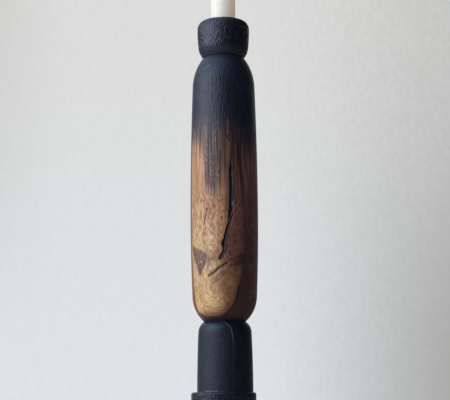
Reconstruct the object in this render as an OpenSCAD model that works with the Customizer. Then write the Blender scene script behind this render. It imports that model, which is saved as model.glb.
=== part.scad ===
// Turned wooden candlestick: a foot, a collar, a short column, a long barrel body and a candle cup,
// stacked on one axis, doweled and screwed together, with a dinner candle standing in a brass liner.
// Sizes are in millimetres. The underside of the felt pad lies on z = 0 and the front faces -y.

/* [Felt pad] */
// Diameter of the felt pad
felt_d = 108; // [90:1:110]
// Thickness of the felt pad
felt_t = 2; // [1:0.25:4]

/* [Foot] */
// Diameter of the foot at its widest line
foot_d = 120; // [118:1:150]
// Height of the foot
foot_h = 24; // [22:0.5:32]
// Height of the widest line above the underside
foot_edge_h = 7; // [5:0.5:8]
// Rise from the widest line to the outer line of the dome
foot_dome_rise = 7; // [6:0.5:8]
// Inset of the outer line of the dome from the widest line
foot_dome_inset = 4.5; // [3.5:0.25:5]
// Inset of the flat underside from the widest line
foot_under_inset = 4; // [2:0.5:4]
// Diameter of the groove between foot and collar
foot_groove_d = 44; // [40:1:50]

/* [Collar] */
// Diameter of the collar
collar_d = 56.6; // [55:0.2:64]
// Height of the collar above the foot
collar_h = 24; // [22:0.5:32]
// Radius of the rounding along the top edge
collar_round = 4; // [2:0.25:4.5]
// Height of the lower shoulder
collar_shoulder_h = 9; // [7:0.5:11]
// Diameter of the collar where the lower shoulder begins
collar_shoulder_d = 55.6; // [54:0.2:56]
// Diameter of the spigot that enters the foot
collar_spigot_d = 24; // [20:0.5:30]
// Length of the spigot that enters the foot
collar_spigot_l = 8; // [5:0.5:9]

/* [Column] */
// Diameter of the column at the collar
column_d = 48.8; // [47:0.2:52]
// Height of the column above the collar
column_h = 61; // [58:0.5:80]
// Diameter of the column where the upper shoulder begins
column_shoulder_d = 46.6; // [45:0.2:46.6]
// Height of the upper shoulder
column_shoulder_h = 9; // [7:0.5:12]
// Diameter of the spigot that enters the collar
column_spigot_d = 28; // [22:0.5:34]
// Length of the spigot that enters the collar
column_spigot_l = 12; // [8:0.5:14]

/* [Body] */
// Largest diameter of the body
body_d = 59.7; // [58:0.1:66]
// Height of the body
body_h = 236.5; // [220:0.5:260]
// Height of the largest diameter above the lower end
body_belly_h = 93; // [80:1:120]
// Diameter where the lower shoulder begins
body_low_d = 56.6; // [55:0.2:57.6]
// Height of the lower shoulder
body_low_h = 21.5; // [20:0.5:30]
// Diameter where the upper shoulder begins
body_high_d = 55.4; // [53:0.2:57]
// Height of the upper shoulder
body_high_h = 26.5; // [20:0.5:30]
// Diameter of the V grooves at both ends of the body
groove_d = 36.2; // [32:0.2:40]

/* [Drying check] */
// Height of the lower end of the check above the lower end of the body
check_h = 52; // [45:1:65]
// Length of the check along the grain
check_l = 88; // [60:1:100]
// Width of the check at its middle
check_w = 5.6; // [2:0.2:6]
// Depth of the check at its middle
check_depth = 7; // [3:0.5:10]

/* [Cup] */
// Largest diameter of the cup
cup_d = 46.3; // [45.6:0.1:52]
// Height of the cup
cup_h = 34; // [33:0.5:45]
// Radius of the rounded rim
cup_round = 7.5; // [4:0.5:8.5]
// Diameter where the lower shoulder begins
cup_shoulder_d = 44.8; // [43:0.2:45.2]
// Height of the lower shoulder
cup_shoulder_h = 10.2; // [8:0.2:13]

/* [Candle] */
// Diameter of the candle
candle_d = 22; // [18:0.5:23]
// Length of the candle, without the free wick
candle_l = 245; // [60:1:300]
// Length of the tapered tip
candle_tip_l = 20; // [5:1:40]
// Diameter at the end of the tip
candle_tip_d = 6; // [4:0.5:10]
// Diameter of the wick
wick_d = 2.2; // [1:0.1:3]
// Length of wick above the tip
wick_free_l = 10; // [3:0.5:15]

/* [Candle socket] */
// Depth to which the candle stands in the liner
socket_depth = 20; // [15:0.5:21]
// Gap all round between candle and liner
candle_gap = 0.3; // [0.2:0.05:0.5]
// Wall of the brass liner
liner_wall = 0.8; // [0.6:0.1:1.2]
// Floor of the brass liner
liner_floor = 1.6; // [1.4:0.1:2]
// Diameter of the head of the liner screw
liner_screw_head_d = 5.4; // [5:0.1:5.6]
// Diameter of the shank of the liner screw
liner_screw_d = 2.8; // [2.6:0.1:3]
// Length of the liner screw
liner_screw_l = 12; // [9:0.5:12.5]

/* [Dowels] */
// Diameter of both dowels
dowel_d = 16; // [10:0.5:18]
// Gap all round a dowel for glue
dowel_gap = 0.1; // [0.05:0.05:0.2]
// Free space for glue above the end of a dowel
dowel_relief = 1; // [0.5:0.25:1.5]
// Depth of the lower dowel in the column
low_dowel_in_column = 24; // [15:0.5:26]
// Depth of the lower dowel in the body
low_dowel_in_body = 25; // [15:0.5:40]
// Depth of the upper dowel in the body
top_dowel_in_body = 24; // [15:0.5:40]
// Depth of the upper dowel in the cup
top_dowel_in_cup = 7; // [4:0.5:7.5]

/* [Base screw] */
// Diameter of the coach screw
screw_d = 8; // [6:0.5:9]
// Length of the coach screw under its head
screw_l = 70; // [60:1:72]
// Length of the screw's point
screw_point_l = 6; // [3:0.5:9]
// Width of the hexagon head across its flats
screw_head_af = 13; // [10:0.5:14]
// Height of the hexagon head
screw_head_h = 5.5; // [4:0.5:6]
// Diameter of the washer
washer_d = 24; // [18:0.5:26]
// Thickness of the washer
washer_t = 1.6; // [1:0.1:2.5]
// Diameter of the counterbore under the foot
counterbore_d = 28; // [27:0.5:34]
// Depth of the counterbore under the foot
counterbore_h = 9; // [9:0.5:10]
// Gap all round the screw in the washer, foot and collar
screw_gap = 0.3; // [0.1:0.05:0.6]
// Gap all round a screw in its pilot hole
pilot_gap = 0.05; // [0.02:0.01:0.1]
// Free depth beyond the point of a screw
pilot_relief = 1.5; // [0.5:0.25:2]

/* [Hidden] */
$fn = 96;

// Largest distance between a drawn curve and the true arc
curve_tolerance = 0.03;
// Overlap that carries a cut clear of the face it starts from
cut = 1;

up = 90;
down = -90;

// Heights of the faces on which the pieces stand
foot_z = felt_t;
collar_z = foot_z + foot_h;
column_z = collar_z + collar_h;
body_z = column_z + column_h;
cup_z = body_z + body_h;
rim_z = cup_z + cup_h;
candle_z = rim_z - socket_depth;
liner_z = candle_z - liner_floor;

// Heights of the dowels and screws
low_dowel_z = body_z - low_dowel_in_column;
low_dowel_l = low_dowel_in_column + low_dowel_in_body;
top_dowel_z = cup_z - top_dowel_in_body;
top_dowel_l = top_dowel_in_body + top_dowel_in_cup;
washer_z = foot_z + counterbore_h - washer_t;
screw_tip_z = washer_z + screw_l;
liner_screw_tip_z = candle_z - liner_screw_l;

// Radii of the bores
dowel_bore_r = dowel_d / 2 + dowel_gap;
screw_bore_r = screw_d / 2 + screw_gap;
screw_pilot_r = screw_d / 2 + pilot_gap;
liner_pilot_r = liner_screw_d / 2 + pilot_gap;
liner_bore_r = candle_d / 2 + candle_gap;
liner_r = liner_bore_r + liner_wall;

// A countersunk head of 90 degrees is as high as its radius exceeds the shank
liner_screw_head_h = (liner_screw_head_d - liner_screw_d) / 2;

// Course of the drying check from its lower end up: share of its length, and degrees right of the front
check_course = [[0, -6], [0.1, 0], [0.19, 3.5], [0.31, 8], [0.43, 12.5], [0.55, 15.6],
    [0.7, 16], [0.85, 15.6], [1, 15]];
// Least share of the width and depth, kept at both ends of the check
check_end = 0.12;
// Share of the width by which the bottom of the check lies left of its middle
check_lean = 0.3;
// Distance by which the cutter of the check stands proud of the body
check_proud = 2;

// Turned outlines are chains of arcs, each leaving the last one in the direction in which it ended

function direction(p, q) = atan2(q[1] - p[1], q[0] - p[0]);

function wrapped(angle) = angle - 360 * round(angle / 360);

// Heading at q of the arc that leaves p at a heading and ends in q
function heading_at(p, heading, q) = heading + 2 * wrapped(direction(p, q) - heading);

// Points of the arc that leaves p at a heading and ends in q, without p itself
function arc_points(p, heading, q) =
    let (
        turn = 2 * wrapped(direction(p, q) - heading),
        radius = norm(q - p) / (2 * sin(turn / 2)),
        step = 2 * acos(1 - curve_tolerance / abs(radius)),
        steps = ceil(abs(turn) / step)
    )
    [for (i = [1:steps]) p + radius * [
        sin(heading + turn * i / steps) - sin(heading),
        cos(heading) - cos(heading + turn * i / steps)
    ]];

// Two arcs in a row, from the widest point p over a point q to the end of the outline
function two_arcs(p, heading, q, end) =
    concat(arc_points(p, heading, q), arc_points(q, heading_at(p, heading, q), end));

function reversed(points) = [for (i = [len(points) - 1:-1:0]) points[i]];

// Turns an outline of radius and height, given from its lower end up, into a solid at a height
module turned(outline, z) {
    translate([0, 0, z])
        rotate_extrude()
            polygon(concat([[0, outline[0][1]]], outline, [[0, outline[len(outline) - 1][1]]]));
}

// A round bore or bar between two heights
module bar(radius, from_z, to_z) {
    translate([0, 0, from_z])
        cylinder(r = radius, h = to_z - from_z);
}

function foot_outline() =
    let (edge = [foot_d / 2, foot_edge_h])
    concat(
        reversed(arc_points(edge, down, [foot_d / 2 - foot_under_inset, 0])),
        [edge],
        two_arcs(edge, up, edge + [-foot_dome_inset, foot_dome_rise], [foot_groove_d / 2, foot_h])
    );

function collar_outline() =
    let (edge = [collar_d / 2, collar_h - collar_round])
    concat(
        reversed(two_arcs(edge, down, [collar_shoulder_d / 2, collar_shoulder_h], [foot_groove_d / 2, 0])),
        [edge],
        arc_points(edge, up, edge + [-collar_round, collar_round])
    );

function column_outline() =
    let (edge = [column_d / 2, 0])
    concat(
        [edge],
        two_arcs(edge, up, [column_shoulder_d / 2, column_h - column_shoulder_h], [groove_d / 2, column_h])
    );

function body_outline() =
    let (belly = [body_d / 2, body_belly_h])
    concat(
        reversed(two_arcs(belly, down, [body_low_d / 2, body_low_h], [groove_d / 2, 0])),
        [belly],
        two_arcs(belly, up, [body_high_d / 2, body_h - body_high_h], [groove_d / 2, body_h])
    );

function cup_outline() =
    let (edge = [cup_d / 2, cup_h - cup_round])
    concat(
        reversed(two_arcs(edge, down, [cup_shoulder_d / 2, cup_shoulder_h], [groove_d / 2, 0])),
        [edge],
        arc_points(edge, up, edge + [-cup_round, cup_round])
    );

// The drying check: a leaning wedge that follows its course up the body

function course_place(angle, radius, z) = [radius * sin(angle), -radius * cos(angle), z];

// One cross-section of the check's cutter: outer left, outer right, bottom
function check_section(share, angle) =
    let (
        fullness = max(check_end, sin(180 * share)),
        radius = body_d / 2,
        half_angle = asin(check_w * fullness / 2 / radius),
        z = body_z + check_h + check_l * share
    )
    [
        course_place(angle - half_angle, radius + check_proud, z),
        course_place(angle + half_angle, radius + check_proud, z),
        course_place(angle - 2 * check_lean * half_angle, radius - check_depth * fullness, z)
    ];

module check_cutter() {
    sections = [for (place = check_course) check_section(place[0], place[1])];
    last = 3 * (len(sections) - 1);
    sides = [for (i = [0:3:last - 3]) for (j = [0:2])
        let (k = (j + 1) % 3)
        each [[i + j, i + 3 + k, i + k], [i + j, i + 3 + j, i + 3 + k]]];
    polyhedron(
        points = [for (section = sections) each section],
        faces = concat([[0, 1, 2]], sides, [[last + 2, last + 1, last]])
    );
}

module felt_pad() {
    color("dimgray")
        bar(felt_d / 2, 0, felt_t);
}

module foot() {
    color("#241f1d")
        difference() {
            turned(foot_outline(), foot_z);
            bar(counterbore_d / 2, foot_z - cut, foot_z + counterbore_h);
            bar(screw_bore_r, foot_z, collar_z);
            bar(collar_spigot_d / 2 + dowel_gap, collar_z - collar_spigot_l - dowel_relief, collar_z + cut);
        }
}

module collar() {
    color("#2a2523")
        difference() {
            union() {
                turned(collar_outline(), collar_z);
                bar(collar_spigot_d / 2, collar_z - collar_spigot_l, collar_z + cut);
            }
            bar(screw_bore_r, collar_z - collar_spigot_l - cut, column_z);
            bar(column_spigot_d / 2 + dowel_gap, column_z - column_spigot_l - dowel_relief, column_z + cut);
        }
}

module column() {
    color("#1f2126")
        difference() {
            union() {
                turned(column_outline(), column_z);
                bar(column_spigot_d / 2, column_z - column_spigot_l, column_z + cut);
            }
            bar(screw_pilot_r, column_z - column_spigot_l - cut, screw_tip_z + pilot_relief);
            bar(dowel_bore_r, low_dowel_z, body_z + cut);
        }
}

module base_washer() {
    color("silver")
        difference() {
            bar(washer_d / 2, washer_z, washer_z + washer_t);
            bar(screw_bore_r, washer_z - cut, washer_z + washer_t + cut);
        }
}

module base_screw() {
    color("silver") {
        translate([0, 0, washer_z - screw_head_h])
            cylinder(d = screw_head_af / cos(30), h = screw_head_h, $fn = 6);
        bar(screw_d / 2, washer_z, screw_tip_z - screw_point_l);
        translate([0, 0, screw_tip_z - screw_point_l])
            cylinder(r1 = screw_d / 2, r2 = 0, h = screw_point_l);
    }
}

module low_dowel() {
    color("burlywood")
        bar(dowel_d / 2, low_dowel_z, low_dowel_z + low_dowel_l);
}

module body() {
    color("#b08a62")
        difference() {
            turned(body_outline(), body_z);
            bar(dowel_bore_r, body_z - cut, body_z + low_dowel_in_body + dowel_relief);
            bar(dowel_bore_r, top_dowel_z, cup_z + cut);
            check_cutter();
        }
}

module top_dowel() {
    color("burlywood")
        difference() {
            bar(dowel_d / 2, top_dowel_z, top_dowel_z + top_dowel_l);
            bar(liner_pilot_r, liner_screw_tip_z - pilot_relief, top_dowel_z + top_dowel_l + cut);
        }
}

module cup() {
    color("#2b2725")
        difference() {
            turned(cup_outline(), cup_z);
            bar(liner_r + dowel_gap, liner_z, rim_z + cut);
            bar(liner_pilot_r, cup_z, liner_z + cut);
            bar(dowel_bore_r, cup_z - cut, cup_z + top_dowel_in_cup + dowel_relief);
        }
}

module liner_screw_head() {
    translate([0, 0, candle_z - liner_screw_head_h])
        cylinder(d1 = liner_screw_d, d2 = liner_screw_head_d, h = liner_screw_head_h);
}

module socket_liner() {
    color("goldenrod")
        difference() {
            bar(liner_r, liner_z, rim_z);
            bar(liner_bore_r, candle_z, rim_z + cut);
            bar(liner_pilot_r, liner_z - cut, candle_z);
            liner_screw_head();
        }
}

module liner_screw() {
    point_z = liner_screw_tip_z + liner_screw_d;
    color("gold") {
        liner_screw_head();
        bar(liner_screw_d / 2, point_z, candle_z - liner_screw_head_h);
        translate([0, 0, liner_screw_tip_z])
            cylinder(d1 = 0, d2 = liner_screw_d, h = liner_screw_d);
    }
}

module candle() {
    shoulder = [candle_d / 2, candle_l - candle_tip_l];
    outline = concat(
        [[candle_d / 2, 0], shoulder],
        arc_points(shoulder, up, [candle_tip_d / 2, candle_l])
    );
    color("ivory")
        difference() {
            turned(outline, candle_z);
            bar(wick_d / 2, candle_z - cut, candle_z + candle_l + cut);
        }
}

module candle_wick() {
    color("white")
        bar(wick_d / 2, candle_z, candle_z + candle_l + wick_free_l);
}

felt_pad();
foot();
collar();
column();
base_washer();
base_screw();
low_dowel();
body();
top_dowel();
cup();
socket_liner();
liner_screw();
candle();
candle_wick();
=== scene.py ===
"""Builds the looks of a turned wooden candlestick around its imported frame."""

import logging
import math
from collections.abc import Callable, Mapping, Sequence
from dataclasses import dataclass, replace
from enum import Enum
from typing import Any

import bmesh
import bpy
import numpy as np
from bmesh.types import BMesh, BMVert
from bpy.types import Material, Mesh, Node, NodeSocket, NodeTree, Object
from mathutils import Matrix, Vector, noise


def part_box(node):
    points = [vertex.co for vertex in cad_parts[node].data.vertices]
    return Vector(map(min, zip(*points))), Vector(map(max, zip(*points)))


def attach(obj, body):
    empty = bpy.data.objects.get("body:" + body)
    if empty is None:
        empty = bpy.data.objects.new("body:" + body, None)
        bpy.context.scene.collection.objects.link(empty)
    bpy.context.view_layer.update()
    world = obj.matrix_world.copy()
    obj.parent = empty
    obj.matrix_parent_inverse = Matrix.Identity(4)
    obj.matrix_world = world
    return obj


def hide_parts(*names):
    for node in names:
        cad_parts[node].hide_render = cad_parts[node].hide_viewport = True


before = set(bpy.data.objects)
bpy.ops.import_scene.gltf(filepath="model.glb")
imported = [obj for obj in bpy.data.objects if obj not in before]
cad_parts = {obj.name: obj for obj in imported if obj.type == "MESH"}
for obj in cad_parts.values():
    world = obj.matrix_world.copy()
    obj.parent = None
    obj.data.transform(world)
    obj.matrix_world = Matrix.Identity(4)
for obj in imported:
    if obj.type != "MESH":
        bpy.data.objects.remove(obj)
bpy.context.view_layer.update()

LOG = logging.getLogger("candlestick")

MM = 0.001
UP, DOWN, LEVEL = 90.0, -90.0, 0.0
ORIGIN = (0.0, 0.0, 0.0)
AXIS = (0.0, 0.0, 1.0)
TURN_DOUBLINGS = 5
MERGE_DISTANCE = 1e-6
SMALLEST_RADIUS = 1e-6
NOISE_SEED = 1
NOISE_FADE, NOISE_GAP, NOISE_LAYERS = 1.0, 2.0, 4
DARKEST_TONE = 0.06
LINE_WANDER, PATCH_WANDER = 0.4, 0.6
THREAD_STEPS = 24
THREAD_FOOT = 0.28
THREAD_ROOT = 0.1

Point = tuple[float, float]
Place = tuple[float, float, float]
Course = tuple[Point, ...]
Colour = tuple[float, float, float]
Tint = tuple[float, float, float, float]
Field = np.ndarray


class Rider(Enum):
    """The moving bodies that a piece can belong to."""

    STICK = "stick"
    CANDLE = "candle"


class Slot(Enum):
    """The material slots of the part's record."""

    FELT = "felt"
    CHARRED = "charred_wood"
    BLACKENED = "blackened_wood"
    SCORCHED = "scorched_wood"
    DOWEL = "dowel_wood"
    BRASS = "brass"
    STEEL = "steel"
    WAX = "wax"
    WICK = "wick"


class Edge(Enum):
    """The angles in degrees above which a piece's edges stay sharp."""

    SCREW = 30.0
    TURNED = 40.0
    COTTON = 60.0
    CHARRED = 70.0


class Grain(Enum):
    """The patterns of the finishes: a size along each axis in millimetres, and a number of finer layers.

    The sizes of the plaster are those of directions, and those of rings and curl lie along the edge of the
    sapwood, across it and along it again.
    """

    CHAR_PATCHES = (9.0, 9.0, 7.0, 4.0)
    CHAR_MOTTLE = (1.2, 1.2, 3.4, 3.0)
    CHAR_FIBRES = (0.7, 0.7, 3.5, 2.0)
    BLACK_STREAKS = (1.8, 1.8, 60.0, 4.0)
    BLACK_CLOUDS = (7.0, 7.0, 10.0, 5.0)
    BLACK_SAND = (1.0, 1.0, 1.4, 2.0)
    BLACK_PORES = (0.8, 0.8, 5.0, 3.0)
    WOOD_STREAKS = (1.3, 1.3, 70.0, 2.0)
    WOOD_FLECKS = (0.9, 0.9, 4.0, 0.0)
    WOOD_FINE = (0.8, 0.8, 45.0, 1.0)
    WOOD_CLOUDS = (6.0, 6.0, 8.0, 2.0)
    WOOD_PORES = (0.7, 0.7, 5.0, 2.0)
    RINGS = (22.0, 0.85, 22.0, 2.0)
    CURL = (3.6, 0.9, 3.6, 2.0)
    RING_WANDER = (9.0, 9.0, 14.0, 1.0)
    THREAD_WANDER = (9.0, 9.0, 80.0, 2.0)
    THREAD_SHADE = (1.2, 1.2, 60.0, 1.0)
    RED_BLOTS = (1.2, 1.2, 2.6, 3.0)
    STAIN_AND_SHEEN_FLAKES = (1.1, 1.1, 4.0, 2.0)
    SHELF_FIBRES = (0.9, 0.9, 2.4, 2.0)
    WALL_STRETCHES = (2.2, 2.2, 5.0, 2.0)
    SMOKE = (0.9, 0.9, 2.6, 2.0)
    SOOT_BLOTCHES = (1.1, 1.1, 8.0, 3.0)
    SOOT_GRIT = (1.0, 1.0, 5.5, 3.0)
    WAX_CLOUDS = (9.0, 9.0, 30.0, 4.0)
    WAX_DIMPLES = (3.0, 3.0, 9.0, 4.0)
    METAL_PATINA = (5.0, 5.0, 5.0, 5.0)
    METAL_RINGS = (30.0, 30.0, 0.25, 3.0)
    FELT_FIBRES = (0.35, 0.35, 0.35, 6.0)
    COTTON_FIBRES = (0.15, 0.15, 0.6, 5.0)
    BEECH_GRAIN = (1.2, 1.2, 30.0, 4.0)
    BEECH_RAYS = (0.3, 0.3, 2.4, 2.0)
    FLOOR_CLOUDS = (300.0, 300.0, 300.0, 3.0)
    PLASTER = (0.0032, 0.0032, 0.0055, 3.0)


def node_span(node: str) -> Point:
    """Gives the lowest and highest height of a node in millimetres."""
    low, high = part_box(node)
    return low[2] / MM, high[2] / MM


def smooth_step(values: Field, low: float, high: float) -> Field:
    """Rises smoothly from 0 at low to 1 at high, which may lie below low."""
    share = np.clip((values - low) / (high - low), 0.0, 1.0)
    return share * share * (3.0 - 2.0 * share)


def read_off(values: Field, rows: Sequence[Sequence[float]], key: int = 0, given: int = 1) -> Field:
    """Looks values up at one place of a table's rows and gives those at another, also between rows."""
    return np.interp(values, [row[key] for row in rows], [row[given] for row in rows])


def rough_noise(place: Vector) -> float:
    """Gives an even-handed noise with fine detail, from about -1 to 1."""
    return noise.fractal(place, NOISE_FADE, NOISE_GAP, NOISE_LAYERS)


def swing(start: Point, heading: float, *ends: Point, row: float) -> list[Point]:
    """Draws arcs in a row, each leaving in the direction in which the last one ended.

    Args:
        start: Radius and height from which the first arc leaves.
        heading: Direction of the first arc at its start, in degrees.
        ends: Radius and height at which each arc ends.
        row: Spacing of the points along the arcs.

    Returns:
        The points after the start, in order.
    """
    points: list[Point] = []
    here = start
    for end in ends:
        across, rise = end[0] - here[0], end[1] - here[1]
        bend = math.degrees(math.atan2(rise, across)) - heading
        turn = math.radians(2.0 * (bend - 360.0 * round(bend / 360.0)))
        radius = math.hypot(across, rise) / (2.0 * math.sin(turn / 2.0))
        steps = max(1, math.ceil(abs(radius * turn) / row))
        begin = math.radians(heading)
        for step in range(1, steps + 1):
            now = begin + turn * step / steps
            points.append((
                here[0] + radius * (math.sin(now) - math.sin(begin)),
                here[1] + radius * (math.cos(begin) - math.cos(now)),
            ))
        heading += math.degrees(turn)
        here = end
    return points


def rows_between(start: Point, end: Point, row: float) -> list[Point]:
    """Divides a straight stretch of an outline into rows.

    Args:
        start: Radius and height where the stretch begins.
        end: Radius and height where it ends.
        row: Spacing of the points.

    Returns:
        The points after the start, in order.
    """
    steps = max(1, math.ceil(math.dist(start, end) / row))
    return [
        (start[0] + (end[0] - start[0]) * i / steps, start[1] + (end[1] - start[1]) * i / steps)
        for i in range(1, steps + 1)
    ]


def doubled(mesh: BMesh, move: Matrix) -> None:
    """Adds a moved copy of everything in a mesh.

    Args:
        mesh: Mesh to double.
        move: Where the copy goes.
    """
    copy = bmesh.ops.duplicate(mesh, geom=[*mesh.verts, *mesh.edges, *mesh.faces])
    verts = [item for item in copy["geom"] if isinstance(item, BMVert)]
    bmesh.ops.transform(mesh, matrix=move, verts=verts)


def spun(mesh: BMesh, geom: Sequence[Any], angle: float, steps: int, rise: float = 0.0) -> None:
    """Spins geometry about the vertical axis, by an angle in radians and a rise in millimetres a step."""
    bmesh.ops.spin(
        mesh, geom=geom, cent=ORIGIN, axis=AXIS, dvec=(0.0, 0.0, rise * MM), angle=angle, steps=steps
    )


def turned(outline: Sequence[Point], columns: int, low: float = 0.0, closed: bool = False) -> BMesh:
    """Turns an outline about the vertical axis into a closed mesh.

    Args:
        outline: Radius and height of each row in millimetres.
        columns: Number of columns round the axis, a multiple of the sectors.
        low: Height above the table from which the outline's heights count.
        closed: Whether the outline is a loop, as on a piece with a hole right through.

    Returns:
        The turned mesh, in metres.
    """
    mesh = bmesh.new()
    rows = [mesh.verts.new((radius * MM, 0.0, (z + low) * MM)) for radius, z in outline]
    edges = [mesh.edges.new(pair) for pair in zip(rows, rows[1:])]
    if closed:
        edges.append(mesh.edges.new((rows[-1], rows[0])))
    sectors = 2 ** TURN_DOUBLINGS
    spun(mesh, rows + edges, math.tau / sectors, columns // sectors)
    for doubling in range(TURN_DOUBLINGS):
        doubled(mesh, Matrix.Rotation(math.tau / sectors * 2 ** doubling, 4, "Z"))
    bmesh.ops.remove_doubles(mesh, verts=mesh.verts, dist=MERGE_DISTANCE)
    bmesh.ops.recalc_face_normals(mesh, faces=mesh.faces)
    return mesh


def joined(mesh: BMesh, other: BMesh) -> None:
    """Takes another mesh's faces into a mesh.

    Args:
        mesh: Mesh that takes the faces.
        other: Mesh that gives them; it is freed.
    """
    data = bpy.data.meshes.new("joined")
    other.to_mesh(data)
    other.free()
    mesh.from_mesh(data)
    bpy.data.meshes.remove(data)


def threaded(mesh: BMesh, low: float, high: float, core: float, crest: float, pitch: float) -> None:
    """Winds a thread round a screw's core.

    Args:
        mesh: Mesh to which the thread is added.
        low: Height at which the thread starts.
        high: Height at which it ends.
        core: Radius of the core.
        crest: Radius of the thread's crest.
        pitch: Rise of one turn.
    """
    turns = int((high - low - pitch) / pitch)
    root, foot = core - THREAD_ROOT, pitch * THREAD_FOOT
    wind = bmesh.new()
    ridge = [
        wind.verts.new((radius * MM, 0.0, height * MM))
        for radius, height in ((root, low), (crest, low + foot), (root, low + 2 * foot))
    ]
    section = wind.faces.new(ridge)
    geom = [section, *section.edges, *ridge]
    spun(wind, geom, math.tau * turns, THREAD_STEPS * turns, rise=pitch / THREAD_STEPS)
    bmesh.ops.recalc_face_normals(wind, faces=wind.faces)
    joined(mesh, wind)


class Skin:
    """The surface of a turned piece, read as angles from the front, radii and heights."""

    def __init__(self, mesh: Mesh) -> None:
        """Reads the places of a mesh's vertices.

        Args:
            mesh: Mesh to read and later to change.
        """
        self.mesh = mesh
        flat = np.empty(len(mesh.vertices) * 3, dtype=np.float32)
        mesh.vertices.foreach_get("co", flat)
        self.places = flat.reshape(-1, 3).astype(float) / MM

    @property
    def angles(self) -> Field:
        """Degrees right of the front, from -180 to 180."""
        return np.degrees(np.arctan2(self.places[:, 0], -self.places[:, 1]))

    @property
    def radii(self) -> Field:
        """Distances from the axis in millimetres."""
        return np.hypot(self.places[:, 0], self.places[:, 1])

    @property
    def heights(self) -> Field:
        """Heights above the table in millimetres."""
        return self.places[:, 2]

    def gather(self, centres: Field | float, share: float) -> None:
        """Draws the columns together round a centre that may wander from row to row.

        Args:
            centres: Angle of the centre, at each vertex or at all.
            share: Part of the spacing that is taken away at the centre, below 1.
        """
        own = np.radians(self.angles)
        angles = np.radians(centres) + own - share * np.sin(own)
        radii = self.radii
        self.places[:, 0] = radii * np.sin(angles)
        self.places[:, 1] = -radii * np.cos(angles)
        self.store()

    def store(self) -> None:
        """Writes the places back to the mesh."""
        self.mesh.vertices.foreach_set("co", (self.places * MM).astype(np.float32).ravel())
        self.mesh.update()

    def push(self, distances: Field) -> None:
        """Moves each vertex out along its normal.

        Args:
            distances: Millimetres by which each vertex moves; inwards where negative.
        """
        normals = np.empty(len(self.mesh.vertices) * 3, dtype=np.float32)
        self.mesh.vertices.foreach_get("normal", normals)
        self.places += normals.reshape(-1, 3) * distances[:, None]
        self.store()

    def push_radially(self, distances: Field) -> None:
        """Moves each vertex away from the axis.

        Args:
            distances: Millimetres by which each vertex moves; inwards where negative.
        """
        radii = np.maximum(self.radii, SMALLEST_RADIUS)
        self.places[:, :2] *= ((radii + distances) / radii)[:, None]
        self.store()

    def slide(self, distances: Field) -> None:
        """Moves each vertex to the right by a distance in millimetres."""
        self.places[:, 0] += distances
        self.store()

    def paint(self, name: str, shares: Field) -> None:
        """Keeps a share for each vertex as a named attribute that a finish reads."""
        attribute = self.mesh.attributes.new(name, "FLOAT", "POINT")
        attribute.data.foreach_set("value", shares.astype(np.float32))

    def sample(self, measure: Callable[[Vector], float], grain: Place) -> Field:
        """Reads a pattern, of a size along each axis in millimetres, at every vertex."""
        scaled = self.places / np.array(grain, dtype=np.float32)
        return np.fromiter((measure(Vector(place)) for place in scaled), float, len(scaled))

    def uneven(self, *grain: float) -> Field:
        """Gives an unevenness of a size along each axis, from about -1 to 1 at each vertex."""
        return self.sample(rough_noise, grain)


class Value:
    """A number in a shader, on which Python's operators add Math nodes."""

    def __init__(self, shader: "Graph", socket: NodeSocket) -> None:
        """Wraps a socket that gives a number."""
        self.shader = shader
        self.socket = socket

    def math(self, operation: str, *others: "Value | float", first: bool = True) -> "Value":
        """Adds a Math node.

        Args:
            operation: Blender's name of the operation.
            others: The other operands.
            first: Whether this value is the first operand.

        Returns:
            The node's result.
        """
        operands = [self, *others] if first else [*others, self]
        node = self.shader.node("ShaderNodeMath", {"operation": operation}, dict(enumerate(operands)))
        return Value(self.shader, node.outputs[0])

    def __add__(self, other: "Value | float") -> "Value":
        """Adds."""
        return self.math("ADD", other)

    __radd__ = __add__

    def __sub__(self, other: "Value | float") -> "Value":
        """Takes away."""
        return self.math("SUBTRACT", other)

    def __rsub__(self, other: float) -> "Value":
        """Takes away from a plain number."""
        return self.math("SUBTRACT", other, first=False)

    def __mul__(self, other: "Value | float") -> "Value":
        """Multiplies."""
        return self.math("MULTIPLY", other)

    __rmul__ = __mul__

    def __truediv__(self, other: "Value | float") -> "Value":
        """Divides."""
        return self.math("DIVIDE", other)

    def step(self, low: float, high: float) -> "Value":
        """Rises smoothly from 0 to 1.

        Args:
            low: Value at which the step starts.
            high: Value at which the step ends; it may lie below low.

        Returns:
            A share from 0 to 1.
        """
        node = self.shader.node(
            "ShaderNodeMapRange",
            {"interpolation_type": "SMOOTHSTEP"},
            {"Value": self, "From Min": low, "From Max": high},
        )
        return Value(self.shader, node.outputs["Result"])

    def largest(self, other: "Value | float") -> "Value":
        """Takes the larger of two values."""
        return self.math("MAXIMUM", other)


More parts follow.
